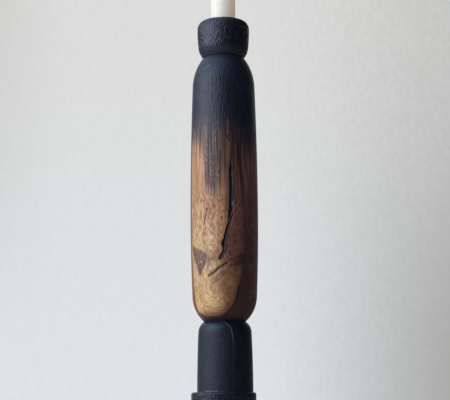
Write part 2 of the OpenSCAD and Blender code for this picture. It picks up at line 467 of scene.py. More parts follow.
class Graph:
    """A node tree, with one method that adds any node."""

    def __init__(self, tree: NodeTree, place: NodeSocket | None = None) -> None:
        """Wraps the tree of a material or a world, with the place at which patterns are read."""
        self.tree = tree
        self.place = place

    def node(self, kind: str, settings: Mapping[str, Any], sockets: Mapping[str | int, Any]) -> Node:
        """Adds a node.

        Args:
            kind: Blender's type of the node.
            settings: The node's own settings, which are set first.
            sockets: A value, a socket or a Value for each input, by name or number.

        Returns:
            The new node.
        """
        node = self.tree.nodes.new(kind)
        for name, setting in settings.items():
            setattr(node, name, setting)
        for key, given in sockets.items():
            source = given.socket if isinstance(given, Value) else given
            if isinstance(source, NodeSocket):
                self.tree.links.new(source, node.inputs[key])
            else:
                node.inputs[key].default_value = source
        return node

    def vector(self, operation: str, *operands: Any) -> NodeSocket:
        """Adds a Vector Math node and gives its result."""
        node = self.node("ShaderNodeVectorMath", {"operation": operation}, dict(enumerate(operands)))
        return node.outputs[0]

    def axes(self) -> tuple[Value, Value, Value]:
        """Gives the three coordinates of the place."""
        parts = self.node("ShaderNodeSeparateXYZ", {}, {0: self.place})
        return tuple(Value(self, socket) for socket in parts.outputs)

    def noise(self, grain: Grain, place: NodeSocket | None = None) -> Value:
        """Adds a noise pattern.

        Args:
            grain: Pattern to add.
            place: Socket that gives the place at which it is read, if not that of the tree.

        Returns:
            The noise, about 0.5 on average.
        """
        *sizes, layers = grain.value
        place = self.place if place is None else place
        scaled = self.vector("MULTIPLY", place, tuple(1.0 / size for size in sizes))
        sockets = {"Vector": scaled, "Scale": 1.0, "Detail": layers}
        return Value(self, self.node("ShaderNodeTexNoise", {}, sockets).outputs["Fac"])

    def mix(self, share: Value | float, first: Any, second: Any) -> NodeSocket:
        """Mixes two colours.

        Args:
            share: Part of the second colour.
            first: Colour or socket at 0.
            second: Colour or socket at 1.

        Returns:
            The mixed colour.
        """
        colours = [(*c, 1.0) if isinstance(c, tuple) else c for c in (first, second)]
        node = self.node("ShaderNodeMix", {"data_type": "RGBA"}, {0: share, 6: colours[0], 7: colours[1]})
        return node.outputs[2]

    def toned(self, colour: NodeSocket, tone: Value, pull: Colour) -> NodeSocket:
        """Makes a colour darker and warmer, or lighter and paler.

        Args:
            colour: Colour to change.
            tone: 1 where the colour stays, lower where it is darker.
            pull: How strongly red, green and blue follow the tone.

        Returns:
            The toned colour.
        """
        rest = tuple(1.0 - part for part in pull)
        factor = self.vector("MULTIPLY_ADD", tone, pull, rest)
        factor = self.vector("MAXIMUM", factor, (DARKEST_TONE,) * 3)
        return self.vector("MULTIPLY", colour, factor)

    def ray(self, kind: str) -> Value:
        """Gives 1 for rays of one of Blender's kinds."""
        return Value(self, self.node("ShaderNodeLightPath", {}, {}).outputs[kind])

    def mirrored(self) -> Value:
        """Gives 1 for rays that see a thing in a glossy surface."""
        return self.ray("Is Glossy Ray")

    def seen(self) -> Value:
        """Gives 1 for rays that see a thing straight or through glass."""
        return self.ray("Is Camera Ray").largest(self.ray("Is Transmission Ray"))


class Shader(Graph):
    """A procedural material with a Principled surface, read on Object coordinates in millimetres."""

    def __init__(self, name: str, **constants: Any) -> None:
        """Starts a material.

        Args:
            name: Name of the material.
            constants: Values of the surface's sockets, with underscores for spaces.
        """
        self.material = bpy.data.materials.new(name)
        self.material.use_nodes = True
        super().__init__(self.material.node_tree)
        self.surface = self.tree.nodes["Principled BSDF"]
        for socket, value in constants.items():
            title = socket.replace("_", " ").title().replace("Ior", "IOR")
            self.surface.inputs[title].default_value = value
        place = self.node("ShaderNodeTexCoord", {}, {}).outputs["Object"]
        self.place = self.vector("MULTIPLY", place, (1.0 / MM,) * 3)
        self.x, self.y, self.z = self.axes()

    def painted(self, name: str) -> Value:
        """Reads a share that was painted on the mesh."""
        return Value(self, self.node("ShaderNodeAttribute", {"attribute_name": name}, {}).outputs["Fac"])

    def cover(self, colour: NodeSocket, name: str, paint: Any) -> NodeSocket:
        """Lays a colour or socket over a colour where its share was painted on the mesh."""
        return self.mix(self.painted(name), colour, paint)

    def set(self, socket: str, source: Value | NodeSocket) -> None:
        """Links a varying value or colour to a socket of the surface."""
        source = source.socket if isinstance(source, Value) else source
        self.tree.links.new(source, self.surface.inputs[socket])

    def bump(self, height: Value, depth: float) -> None:
        """Roughens the surface by a relief from 0 to 1, with its depth in millimetres."""
        node = self.node("ShaderNodeBump", {}, {"Strength": 1.0, "Distance": depth * MM, "Height": height})
        self.set("Normal", node.outputs["Normal"])


@dataclass(frozen=True)
class CharredFinish:
    """Rough charred wood: blue-black scales, blacker cracks and a little brown."""

    name: str = "charred_wood"
    scale: Colour = (0.018, 0.025, 0.044)
    crack: Colour = (0.006, 0.008, 0.0145)
    brown: Colour = (0.03, 0.024, 0.022)
    tint: Tint = (0.64, 0.82, 1.0, 1.0)
    shine: float = 0.38
    browned: float = 0.2
    mottled: float = 0.8
    grit: float = 0.55
    roughness: float = 0.14
    mottle_roughness: float = 0.28
    matt_roughness: float = 0.18
    matt_below: Point = (5.0, -5.0)
    matt_above: Point = (997.0, 1002.0)

    def material(self) -> Material:
        """Builds the material.

        Returns:
            The material.
        """
        shader = Shader(self.name, specular_ior_level=self.shine, specular_tint=self.tint)
        patches = shader.noise(Grain.CHAR_PATCHES).step(0.5, 0.7)
        mottle = shader.noise(Grain.CHAR_MOTTLE)
        colour = shader.mix(shader.painted("relief").step(0.2, 0.9), self.crack, self.scale)
        colour = shader.mix(patches * self.browned, colour, self.brown)
        colour = shader.mix(mottle.step(0.56, 0.36) * self.mottled, colour, self.crack)
        shader.set("Base Color", colour)
        matt = shader.z.step(*self.matt_below).largest(shader.z.step(*self.matt_above))
        rough = self.roughness + mottle * self.mottle_roughness
        shader.set("Roughness", rough + matt * self.matt_roughness)
        shader.bump(mottle * 0.7 + shader.noise(Grain.CHAR_FIBRES) * 0.3, self.grit)
        return shader.material


CHARRED_CUP = CharredFinish(
    "charred_cup", scale=(0.012, 0.0155, 0.026), tint=(0.7, 0.83, 1.0, 1.0), shine=0.62, browned=0.9,
    grit=0.75, matt_below=(357.0, 347.0), matt_above=(375.0, 380.0),
)


@dataclass(frozen=True)
class BlackenedFinish:
    """Scorched wood sanded to a satin blue-black, with bare wood where it is worn."""

    name: str = "blackened_wood"
    black: Colour = (0.003, 0.0044, 0.0125)
    grey: Colour = (0.0062, 0.0092, 0.0225)
    hairline: Colour = (0.22, 0.2, 0.2)
    bare: Colour = (0.27, 0.205, 0.185)
    tint: Tint = (0.7, 0.84, 1.0, 1.0)
    shine: float = 0.45
    roughness: float = 0.15
    cloud_roughness: float = 0.42
    sand_roughness: float = 0.24
    shoulder: Point = (97.0, 106.0)
    shoulder_polish: float = 0.14
    relief: float = 0.6

    def material(self) -> Material:
        """Builds the material.

        Returns:
            The material.
        """
        shader = Shader(self.name, specular_ior_level=self.shine, specular_tint=self.tint)
        clouds = shader.noise(Grain.BLACK_CLOUDS)
        sand = shader.noise(Grain.BLACK_SAND)
        shade = shader.noise(Grain.BLACK_STREAKS) * 0.15 + clouds * 0.45 + sand * 0.4
        colour = shader.mix(shade.step(0.42, 0.6), self.black, self.grey)
        colour = shader.cover(colour, "hairline", self.hairline)
        shader.set("Base Color", shader.cover(colour, "wear", self.bare))
        polish = shader.z.step(*self.shoulder) * self.shoulder_polish
        rough = self.roughness + clouds * self.cloud_roughness + sand * self.sand_roughness
        shader.set("Roughness", rough - polish)
        shader.bump(shader.noise(Grain.BLACK_PORES) * 0.15 + sand * 0.85, self.relief)
        return shader.material


@dataclass(frozen=True)
class ScorchedFinish:
    """Figured wood with pale sapwood in front, smoked and charred from its upper end."""

    name: str = "scorched_wood"
    tan: Colour = (0.45, 0.232, 0.118)
    gold: Colour = (0.57, 0.35, 0.168)
    # painted light: a brighter gold for the rounded lower end, which faces down and gets less light
    foot_painted_light: Colour = (0.93, 0.61, 0.285)
    light: Colour = (0.74, 0.5, 0.29)
    orange: Colour = (0.325, 0.142, 0.056)
    umber: Colour = (0.138, 0.052, 0.028)
    red_brown: Colour = (0.172, 0.063, 0.042)
    rind: Colour = (0.225, 0.074, 0.037)
    heart: Colour = (0.058, 0.0155, 0.021)
    dark_heart: Colour = (0.038, 0.0125, 0.018)
    # painted light: a lighter heartwood colour for the upper part, where more light falls from the right
    upper_heart_painted_light: Colour = (0.185, 0.075, 0.088)
    grain_line: Colour = (0.2, 0.1, 0.058)
    smoke: Colour = (0.166, 0.099, 0.089)
    smoke_line: Colour = (0.034, 0.021, 0.024)
    char: Colour = (0.0025, 0.004, 0.012)
    soot: Colour = (0.01, 0.0155, 0.037)
    toast: Colour = (0.094, 0.037, 0.026)
    toast_line: Colour = (0.028, 0.015, 0.017)
    # colour of the scar, also used for the painted sheen on the heartwood's right rim
    stain_and_sheen: Colour = (0.185, 0.1, 0.074)
    stain_and_sheen_line: Colour = (0.085, 0.042, 0.036)
    # purple marks in the wood, and painted shade along the long check's left wall
    purple: Colour = (0.105, 0.054, 0.052)
    # dark lines in the wood, and painted shade in the hollow and in the slanting check's groove
    dark: Colour = (0.018, 0.01, 0.014)
    amber: Colour = (0.3, 0.135, 0.06)
    # pale lines in the wood, and one painted highlight by the small nick
    pale: Colour = (0.78, 0.55, 0.4)
    shelf: Colour = (0.066, 0.042, 0.036)
    # painted shade: the steep wall of the upper cleft, with paler flakes
    wall: Colour = (0.014, 0.012, 0.018)
    wall_flake: Colour = (0.075, 0.07, 0.078)
    # dark fibres on the shelf, and a painted shadow line along its outer edge
    dark_fibres_and_edge_shade: Colour = (0.024, 0.011, 0.015)
    # painted shade: the inside of the clefts is coloured near black
    cleft: Colour = (0.02, 0.012, 0.018)
    scratch: Colour = (0.17, 0.19, 0.21)
    tint: Tint = (0.85, 0.92, 1.0, 1.0)
    shine: float = 0.5
    roughness: float = 0.48
    streak_roughness: float = 0.16
    char_polish: float = 0.17
    shelf_roughness: float = 0.3
    relief: float = 0.25
    wood_pull: Colour = (0.8, 1.2, 1.8)
    smoke_pull: Colour = (1.1, 1.5, 1.7)
    fine_contrast: float = 2.0
    curl_contrast: float = 2.1
    lively_contrast: float = 0.7
    red_contrast: float = 1.8
    smoke_contrast: float = 2.9
    cloud_contrast: float = 0.6
    scorch_share: float = 0.92
    growth_turn: float = -17.0
    ring_wander: float = 4.5
    thread_spacing: float = 2.5
    thread_wander: float = 1.4
    orange_span: Point = (-2.0, 12.0)
    umber_span: Point = (12.0, 22.0)
    gold_span: Point = (220.0, 185.0)
    foot_light_span: Point = (136.0, 114.0)
    calm_span: Point = (158.0, 136.0)
    plain_span: Point = (212.0, 236.0)
    upper_heart_light_span: Point = (182.0, 242.0)
    lively_span: Point = (187.0, 201.0)
    cleft_wall_shade_span: Point = (193.0, 205.0)

    def material(self) -> Material:
        """Builds the material.

        Returns:
            The material.
        """
        shader = Shader(self.name, specular_ior_level=self.shine, specular_tint=self.tint)
        streaks = shader.noise(Grain.WOOD_STREAKS)
        threads = self.threads(shader)
        colour = self.wood(shader, streaks, threads)
        colour = self.scorch(shader, colour, threads)
        stain_and_sheen = shader.mix(shader.noise(Grain.STAIN_AND_SHEEN_FLAKES).step(0.4, 0.62), self.stain_and_sheen, self.stain_and_sheen_line)
        colour = shader.cover(colour, "stain_and_sheen", stain_and_sheen)
        for name, paint in (("purple", self.purple), ("amber", self.amber), ("dark", self.dark)):
            colour = shader.cover(colour, name, paint)
        depth = shader.painted("shelf")
        colour = shader.mix(depth.step(0.0, 0.18), colour, self.check_shelf(shader, depth))
        # the clefts in painted shade, pale lines with one painted highlight, and the scratch
        for name, paint in (("cleft", self.cleft), ("pale", self.pale), ("scratch", self.scratch)):
            colour = shader.cover(colour, name, paint)
        shader.set("Base Color", colour)
        char = shader.painted("char")
        rough = self.roughness + streaks * self.streak_roughness - char * self.char_polish
        shader.set("Roughness", rough + depth.step(0.0, 0.2) * self.shelf_roughness)
        grit = shader.noise(Grain.SOOT_GRIT) * char
        shader.bump(shader.noise(Grain.WOOD_PORES) * 0.4 + streaks * 0.4 + grit * 1.9, self.relief)
        return shader.material

    def check_shelf(self, shader: Shader, depth: Value) -> NodeSocket:
        """Colours the broken wood on the right of the long check, with painted shade on the upper cleft's
        steep wall and a painted shadow line along the shelf's outer edge.

        Args:
            shader: The material.
            depth: How deep the shelf lies, from 0 at its edge to 1 at the cleft.

        Returns:
            The shelf's colour.
        """
        flakes = shader.noise(Grain.WALL_STRETCHES).step(0.44, 0.62)
        wall = shader.mix(flakes, self.wall, self.wall_flake)
        # painted shade: above this span the shelf becomes the dark wall of the upper cleft
        shelf = shader.mix(shader.z.step(*self.cleft_wall_shade_span), self.shelf, wall)
        fibres = shader.noise(Grain.SHELF_FIBRES)
        # dark fibres, then a painted shadow line along the shelf's outer edge
        for share in (fibres.step(0.46, 0.6), depth.step(0.4, 0.1)):
            shelf = shader.mix(share * 0.8, shelf, self.dark_fibres_and_edge_shade)
        return shelf

    def wood(self, shader: Shader, streaks: Value, threads: Value) -> NodeSocket:
        """Colours the wood under the char.

        Args:
            shader: The material.
            streaks: Fine streaks along the grain.
            threads: Close lines along the grain.

        Returns:
            The wood's colour.
        """
        turn = math.radians(self.growth_turn)
        across = shader.x * math.cos(turn) + shader.y * math.sin(turn)
        rings, curl = self.rings(shader, Grain.RINGS), self.rings(shader, Grain.CURL)
        plain = shader.z.step(*self.plain_span)
        figure = 1.0 - plain * 0.75
        calm = shader.z.step(*self.calm_span)
        flecks = shader.noise(Grain.WOOD_FLECKS).step(0.58, 0.7) * figure * (1.0 - calm * 0.6)
        brim = shader.painted("brim").largest(across.step(*self.umber_span))
        colour = shader.mix(shader.z.step(*self.gold_span), self.tan, self.gold)
        for share, paint in (
            # painted light: the rounded lower end is painted a brighter gold
            (shader.z.step(*self.foot_light_span) * 0.8, self.foot_painted_light),
            (rings.step(0.5, 0.32) * figure * 0.5, self.light),
            (streaks.step(0.46, 0.32) * plain * 0.45, self.light),
            (across.step(*self.orange_span), self.orange),
            (brim, self.umber),
            (rings.step(0.5, 0.66) * figure * 0.36, self.grain_line),
            (threads.step(0.56, 0.74) * plain * 0.5, self.grain_line),
            (flecks * 0.32, self.grain_line),
        ):
            colour = shader.mix(share, colour, paint)
        lively = shader.z.step(*self.lively_span) * self.lively_contrast
        tone = 1.04 - calm * 0.05 - plain * 0.04
        tone = tone + (0.5 - shader.noise(Grain.WOOD_CLOUDS)) * self.cloud_contrast
        tone = tone + (0.5 - shader.noise(Grain.WOOD_FINE)) * plain * self.fine_contrast
        tone = tone + (0.5 - curl) * figure * (self.curl_contrast + lively)
        colour = shader.toned(colour, tone, self.wood_pull)
        blots = shader.noise(Grain.RED_BLOTS).step(0.4, 0.62) * 0.6
        red = shader.mix(blots, self.red_brown, self.dark_heart)
        red = shader.toned(red, 1.0 + (0.5 - curl) * self.red_contrast, self.wood_pull)
        # painted light: the heartwood is lighter towards the top, where more light falls from the right
        high = shader.z.step(*self.upper_heart_light_span)
        heart = shader.mix(high, self.heart, self.upper_heart_painted_light)
        heart = shader.mix((rings * 0.6 + streaks * 0.4).step(0.65, 0.35), heart, self.dark_heart)
        rind = shader.mix(streaks.step(0.45, 0.65) * 0.5, self.rind, self.red_brown)
        for name, paint in (("red", red), ("heart", heart), ("rind", rind)):
            colour = shader.cover(colour, name, paint)
        return colour

    def rings(self, shader: Shader, grain: Grain) -> Value:
        """Gives lines that run along the edge of the sapwood and close into loops at its ends.

        Args:
            shader: The material.
            grain: How far a line holds its shade, and half the distance between lines.

        Returns:
            About 0.5 on average, higher in some lines and lower in others.
        """
        inwards = shader.painted("inwards") + shader.noise(Grain.RING_WANDER) * self.ring_wander
        place = shader.node("ShaderNodeCombineXYZ", {}, {0: shader.x, 1: inwards, 2: shader.z}).outputs[0]
        return shader.noise(grain, place)

    def threads(self, shader: Shader) -> Value:
        """Gives close lines along the grain.

        Args:
            shader: The material.

        Returns:
            About 0.5 on average, and higher in each line.
        """
        wander = shader.noise(Grain.THREAD_WANDER) * self.thread_wander
        wave = ((shader.x / self.thread_spacing + wander) * math.tau).math("SINE")
        return wave * 0.12 + shader.noise(Grain.THREAD_SHADE) * 1.1 - 0.05

    def scorch(self, shader: Shader, colour: NodeSocket, threads: Value) -> NodeSocket:
        """Lays smoke and char over the upper part.

        Args:
            shader: The material.
            colour: Colour of the bare wood.
            threads: Close lines along the grain.

        Returns:
            The scorched colour.
        """
        toast = (shader.painted("toast") + (threads - 0.5) * 0.7).step(0.1, 0.9)
        brown = shader.mix(threads.step(0.44, 0.6), self.toast, self.toast_line)
        colour = shader.mix(toast * self.scorch_share, colour, brown)
        smoke = (shader.painted("smoke") + (threads - 0.5) * 0.65).step(0.1, 0.9)
        grey = shader.mix(threads.step(0.48, 0.66), self.smoke, self.smoke_line)
        tone = 1.0 + (0.5 - shader.noise(Grain.SMOKE)) * self.smoke_contrast
        colour = shader.mix(smoke * self.scorch_share, colour, shader.toned(grey, tone, self.smoke_pull))
        char = (shader.painted("char") + (threads - 0.5) * 0.5).step(0.0, 1.0)
        blotches = shader.noise(Grain.SOOT_BLOTCHES) * 0.7 + threads * 0.3
        return shader.mix(char, colour, shader.mix(blotches.step(0.36, 0.62), self.char, self.soot))


@dataclass(frozen=True)
class PlainFinish:
    """A finish of two colours, with one pattern for its shades and one for its relief."""

    name: str
    first: Colour
    second: Colour
    band: Point
    shades: Grain
    relief: Grain
    depth: float
    roughness: float
    shade_roughness: float
    constants: Mapping[str, Any]

    def material(self) -> Material:
        """Builds the material.

        Returns:
            The material.
        """
        shader = Shader(self.name, **self.constants)
        shades = shader.noise(self.shades)
        shader.set("Base Color", shader.mix(shades.step(*self.band), self.first, self.second))
        shader.set("Roughness", self.roughness + shades * self.shade_roughness)
        shader.bump(shader.noise(self.relief), self.depth)
        return shader.material


WAX = PlainFinish(
    "candle_wax", (0.96, 0.945, 0.9), (0.94, 0.92, 0.865), (0.35, 0.7), Grain.WAX_CLOUDS, Grain.WAX_DIMPLES,
    depth=0.08, roughness=0.42, shade_roughness=0.2,
    constants={
        "subsurface_weight": 0.5, "subsurface_scale": 0.006, "subsurface_radius": (1.0, 0.8, 0.5),
        "specular_ior_level": 0.35,
    },
)
STEEL = PlainFinish(
    "zinc_plated_steel", (0.6, 0.6, 0.58), (0.42, 0.42, 0.41), (0.4, 0.68), Grain.METAL_PATINA,
    Grain.METAL_RINGS, depth=0.03, roughness=0.32, shade_roughness=0.25, constants={"metallic": 1.0},
)
BRASS = replace(STEEL, name="spun_brass", first=(0.78, 0.58, 0.28), second=(0.5, 0.34, 0.14), roughness=0.24)
WOOL_FELT = PlainFinish(
    "wool_felt", (0.022, 0.022, 0.024), (0.075, 0.075, 0.078), (0.35, 0.7), Grain.FELT_FIBRES,
    Grain.FELT_FIBRES, depth=0.4, roughness=0.85, shade_roughness=0.15,
    constants={"sheen_weight": 0.4, "sheen_roughness": 0.5, "specular_ior_level": 0.15},
)
COTTON = PlainFinish(
    "waxed_cotton", (0.52, 0.48, 0.4), (0.8, 0.77, 0.69), (0.35, 0.65), Grain.COTTON_FIBRES,
    Grain.COTTON_FIBRES, depth=0.12, roughness=0.6, shade_roughness=0.25,
    constants={"specular_ior_level": 0.35},
)


@dataclass(frozen=True)
class BeechFinish:
    """Plain beech with its short dark rays."""

    name: str = "beech"
    pale: Colour = (0.58, 0.42, 0.27)
    ray: Colour = (0.36, 0.23, 0.13)
    shine: float = 0.35
    roughness: float = 0.55
    grain_roughness: float = 0.2
    relief: float = 0.1

    def material(self) -> Material:
        """Builds the material.

        Returns:
            The material.
        """
        shader = Shader(self.name, specular_ior_level=self.shine)
        grain = shader.noise(Grain.BEECH_GRAIN)
        rays = shader.noise(Grain.BEECH_RAYS).step(0.58, 0.68)
        colour = shader.mix(grain.step(0.4, 0.65) * 0.5, self.pale, self.ray)
        shader.set("Base Color", shader.mix(rays * 0.6, colour, self.ray))
        shader.set("Roughness", self.roughness + grain * self.grain_roughness)
        shader.bump(grain, self.relief)
        return shader.material


class Assembly:
    """A group of pieces that are made and dressed together."""

    def add(
        self, name: str, mesh: BMesh, node: str, slot: Slot,
        rider: Rider = Rider.STICK, sharp: Edge = Edge.TURNED,
    ) -> Object:
        """Turns a finished bmesh into a piece of the object.

        Args:
            name: Name of the piece.
            mesh: Mesh in the part's frame; it is freed.
            node: Node that the piece stands for.
            slot: Material slot of the piece; not used.
            rider: Body that the piece moves with.
            sharp: Kind of edges that stay sharp.

        Returns:
            The new object.
        """
        data = bpy.data.meshes.new(name)
        mesh.to_mesh(data)
        mesh.free()
        data.shade_smooth()
        data.set_sharp_from_angle(angle=math.radians(sharp.value))
        piece = bpy.data.objects.new(name, data)
        bpy.context.scene.collection.objects.link(piece)
        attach(piece, rider.value)
        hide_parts(node)
        LOG.info("%s: %d faces", name, len(data.polygons))
        return piece

    @staticmethod
    def dress(piece: Object, material: Material) -> None:
        """Gives a piece its finish."""
        piece.data.materials.clear()
        piece.data.materials.append(material)


@dataclass(frozen=True)
class Charring:
    """Relief of charred wood: scales parted by cracks, over a slow unevenness."""

    scale_width: float
    scale_length: float
    crack_depth: float
    crack_width: float = 0.4
    crack_level: float = 0.4
    scale_bend: float = 0.5
    bend_size: float = 0.6
    lump_size: float = 6.0
    lump_depth: float = 0.12
    fine_grain: Place = (0.9, 0.9, 1.4)
    fine_depth: float = 0.06

    def crazing(self, place: Vector) -> float:
        """Gives the distance from the crack between two cells, 0 in the crack."""
        near = noise.voronoi(place + self.scale_bend * noise.noise_vector(place * self.bend_size))[0]
        return near[1] - near[0]

    def apply(self, skin: Skin, share: Field) -> None:
        """Roughens a surface and paints the relief on it.

        Args:
            skin: Surface to roughen.
            share: Part of the relief that each vertex takes.
        """
        cells = skin.sample(self.crazing, (self.scale_width, self.scale_width, self.scale_length))
        lumps = skin.uneven(self.lump_size, self.lump_size, self.lump_size)
        fine = skin.uneven(*self.fine_grain)
        scales = smooth_step(cells, 0.0, self.crack_width)
        relief = self.crack_depth * (scales - self.crack_level) + self.fine_depth * fine
        skin.push(share * (relief + self.lump_depth * lumps))
        skin.paint("relief", np.clip(0.2 + 0.6 * scales + 0.4 * fine + 0.3 * lumps, 0.0, 1.0))


@dataclass
class Base(Assembly):
    """The foot, the collar on it, the felt below and the screw that draws all up to the column."""

    foot_d: float = 120.0
    foot_edge_h: float = 7.0
    foot_dome_rise: float = 7.0
    foot_dome_inset: float = 4.5
    foot_under_inset: float = 4.0
    foot_char: Charring = Charring(2.6, 2.6, 0.4)
    foot_char_edge: Point = (-0.2, 1.5)
    foot_char_rise: float = 1.5
    groove_d: float = 44.0
    collar_d: float = 56.6
    collar_round: float = 2.4
    collar_offset: float = -1.35
    collar_offset_edge: Point = (-1.3, 0.8)
    collar_shoulder_d: float = 55.6
    collar_shoulder_h: float = 9.0
    collar_char: Charring = Charring(1.4, 3.4, 0.14)
    collar_char_edge: Point = (-2.0, 1.2)
    collar_char_rise: float = 1.0
    collar_char_top: Point = (-0.05, -1.2)
    spigot_d: float = 24.0
    spigot_l: float = 8.0
    spigot_play: float = 0.1
    spigot_gap: float = 1.0
    mortise_d: float = 28.2
    mortise_h: float = 13.0
    counterbore_d: float = 28.0
    counterbore_h: float = 9.0
    screw_bore_d: float = 8.6
    felt_d: float = 108.0
    felt_round: float = 0.5
    felt_fuzz: float = 0.12
    felt_fuzz_w: float = 0.3
    felt_grain: Place = (0.8, 0.8, 0.5)
    felt_rows: Place = (3.0, 0.4, 4.0)
    felt_edge_row: float = 0.2
    felt_columns: int = 256
    washer_d: float = 24.0
    washer_bevel: float = 0.3
    washer_columns: int = 96
    screw_d: float = 8.0
    screw_core_d: float = 5.8
    screw_head_af: float = 13.0
    screw_head_h: float = 5.5
    screw_head_bevel: float = 0.9
    screw_plain_l: float = 26.0
    screw_neck_l: float = 1.0
    screw_pitch: float = 3.2
    screw_point_l: float = 6.0
    screw_columns: int = 64
    row: float = 0.7
    columns: int = 416

    def build(self) -> None:
        """Makes and dresses all pieces of the base."""
        charred, steel = CharredFinish().material(), STEEL.material()
        self.dress(self.foot(), charred)
        self.dress(self.collar(), charred)
        self.dress(self.felt(), WOOL_FELT.material())
        self.dress(self.washer(), steel)
        self.dress(self.screw(), steel)

    def foot(self) -> Object:
        """Turns the domed foot with its mortise and counterbore.

        Returns:
            The foot.
        """
        low, high = node_span("foot")
        tall = high - low
        edge = (self.foot_d / 2, self.foot_edge_h)
        dome = (edge[0] - self.foot_dome_inset, edge[1] + self.foot_dome_rise)
        under = (edge[0] - self.foot_under_inset, 0.0)
        groove = (self.groove_d / 2, tall)
        bore, counter = self.screw_bore_d / 2, self.counterbore_d / 2
        mortise = self.spigot_d / 2 + self.spigot_play
        floor = tall - self.spigot_l - self.spigot_gap
        outline = [(bore, self.counterbore_h), (counter, self.counterbore_h), (counter, 0.0)]
        outline += swing(edge, DOWN, under, row=self.row)[::-1] + [edge]
        outline += swing(edge, UP, dome, groove, row=self.row)
        outline += [(mortise, tall), (mortise, floor), (bore, floor)]
        mesh = turned(outline, self.columns, low, closed=True)
        piece = self.add("foot_charred", mesh, "foot", Slot.CHARRED, sharp=Edge.CHARRED)
        skin = Skin(piece.data)
        outer = smooth_step(skin.radii - groove[0], *self.foot_char_edge)
        self.foot_char.apply(skin, outer * smooth_step(skin.heights, low, low + self.foot_char_rise))
        return piece

    def collar(self) -> Object:
        """Turns the collar with the spigot below it and the mortise on top.

        Returns:
            The collar.
        """
        high = node_span("collar")[1]
        low = node_span("foot")[1]
        tall = high - low
        edge = (self.collar_d / 2, tall - self.collar_round)
        shoulder = (self.collar_shoulder_d / 2, self.collar_shoulder_h)
        groove = (self.groove_d / 2, 0.0)
        ledge = (edge[0] - self.collar_round, tall)
        bore, spigot, mortise = self.screw_bore_d / 2, self.spigot_d / 2, self.mortise_d / 2
        floor = tall - self.mortise_h
        outline = [(bore, -self.spigot_l), (spigot, -self.spigot_l), (spigot, 0.0)]
        outline += swing(edge, DOWN, shoulder, groove, row=self.row)[::-1] + [edge]
        outline += swing(edge, UP, ledge, row=self.row / 2)
        outline += [(mortise, tall), (mortise, floor), (bore, floor)]
        mesh = turned(outline, self.columns, low, closed=True)
        piece = self.add("collar_charred", mesh, "collar", Slot.CHARRED, sharp=Edge.CHARRED)
        skin = Skin(piece.data)
        beyond = skin.radii - ledge[0]
        outer = smooth_step(beyond, *self.collar_char_edge)
        outer *= smooth_step(skin.heights, low, low + self.collar_char_rise)
        outer *= smooth_step(skin.heights - high, *self.collar_char_top)
        skin.slide(self.collar_offset * smooth_step(beyond, *self.collar_offset_edge))
        self.collar_char.apply(skin, outer)
        return piece

    def felt(self) -> Object:
        """Cuts the felt pad, with a soft fuzzy edge.

        Returns:
            The pad.
        """
        low, high = node_span("felt_pad")
        radius, turn_in = self.felt_d / 2, self.felt_round
        inner = radius - turn_in
        under, side, top = self.felt_rows
        outline = [(0.0, low)] + rows_between((0.0, low), (inner, low), under)
        outline += swing((inner, low), LEVEL, (radius, low + turn_in), row=self.felt_edge_row)
        outline += rows_between((radius, low + turn_in), (radius, high), side)
        outline += rows_between((radius, high), (0.0, high), top)
        piece = self.add("felt_pad_wool", turned(outline, self.felt_columns), "felt_pad", Slot.FELT)
        skin = Skin(piece.data)
        edge = smooth_step(skin.radii, inner - self.felt_fuzz_w, radius)
        edge *= smooth_step(skin.heights, low, low + self.felt_fuzz_w)
        skin.push_radially(edge * self.felt_fuzz * skin.uneven(*self.felt_grain))
        return piece

    def washer(self) -> Object:
        """Stamps the washer, with its burred and rounded edges.

        Returns:
            The washer.
        """
        low, high = node_span("base_washer")
        bore, radius, bevel = self.screw_bore_d / 2, self.washer_d / 2, self.washer_bevel
        outline = [
            (bore + bevel, low), (radius - bevel, low), (radius, low + bevel), (radius, high - bevel / 2),
            (radius - bevel / 2, high), (bore, high), (bore, low + bevel),
        ]
        mesh = turned(outline, self.washer_columns, closed=True)
        return self.add("base_washer_steel", mesh, "base_washer", Slot.STEEL)

    def screw(self) -> Object:
        """Forges the coach screw: a hexagon head, a plain shank and a coarse wood thread.

        Returns:
            The screw.
        """
        low, tip = node_span("base_screw")
        under_head = low + self.screw_head_h
        corner = self.screw_head_af / math.sqrt(3.0) * MM
        middle = (low + under_head) / 2 * MM
        mesh = bmesh.new()
        bmesh.ops.create_cone(
            mesh, cap_ends=True, segments=6, radius1=corner, radius2=corner, depth=self.screw_head_h * MM,
            matrix=Matrix.Translation((0.0, 0.0, middle)) @ Matrix.Rotation(math.radians(30), 4, "Z"),
        )
        rim = [edge for edge in mesh.edges if all(vert.co.z < middle for vert in edge.verts)]
        bmesh.ops.bevel(
            mesh, geom=rim, offset=self.screw_head_bevel * MM, offset_type="OFFSET", affect="EDGES",
            segments=2, profile=0.5, material=-1,
        )
        plain_end, point = under_head + self.screw_plain_l, tip - self.screw_point_l
        core, shank = self.screw_core_d / 2, self.screw_d / 2
        outline = [
            (0.0, under_head), (shank, under_head), (shank, plain_end), (core, plain_end + self.screw_neck_l),
            (core, point), (0.0, tip),
        ]
        joined(mesh, turned(outline, self.screw_columns))
        threaded(mesh, plain_end, point, core, shank, self.screw_pitch)
        return self.add("base_screw_steel", mesh, "base_screw", Slot.STEEL, sharp=Edge.SCREW)


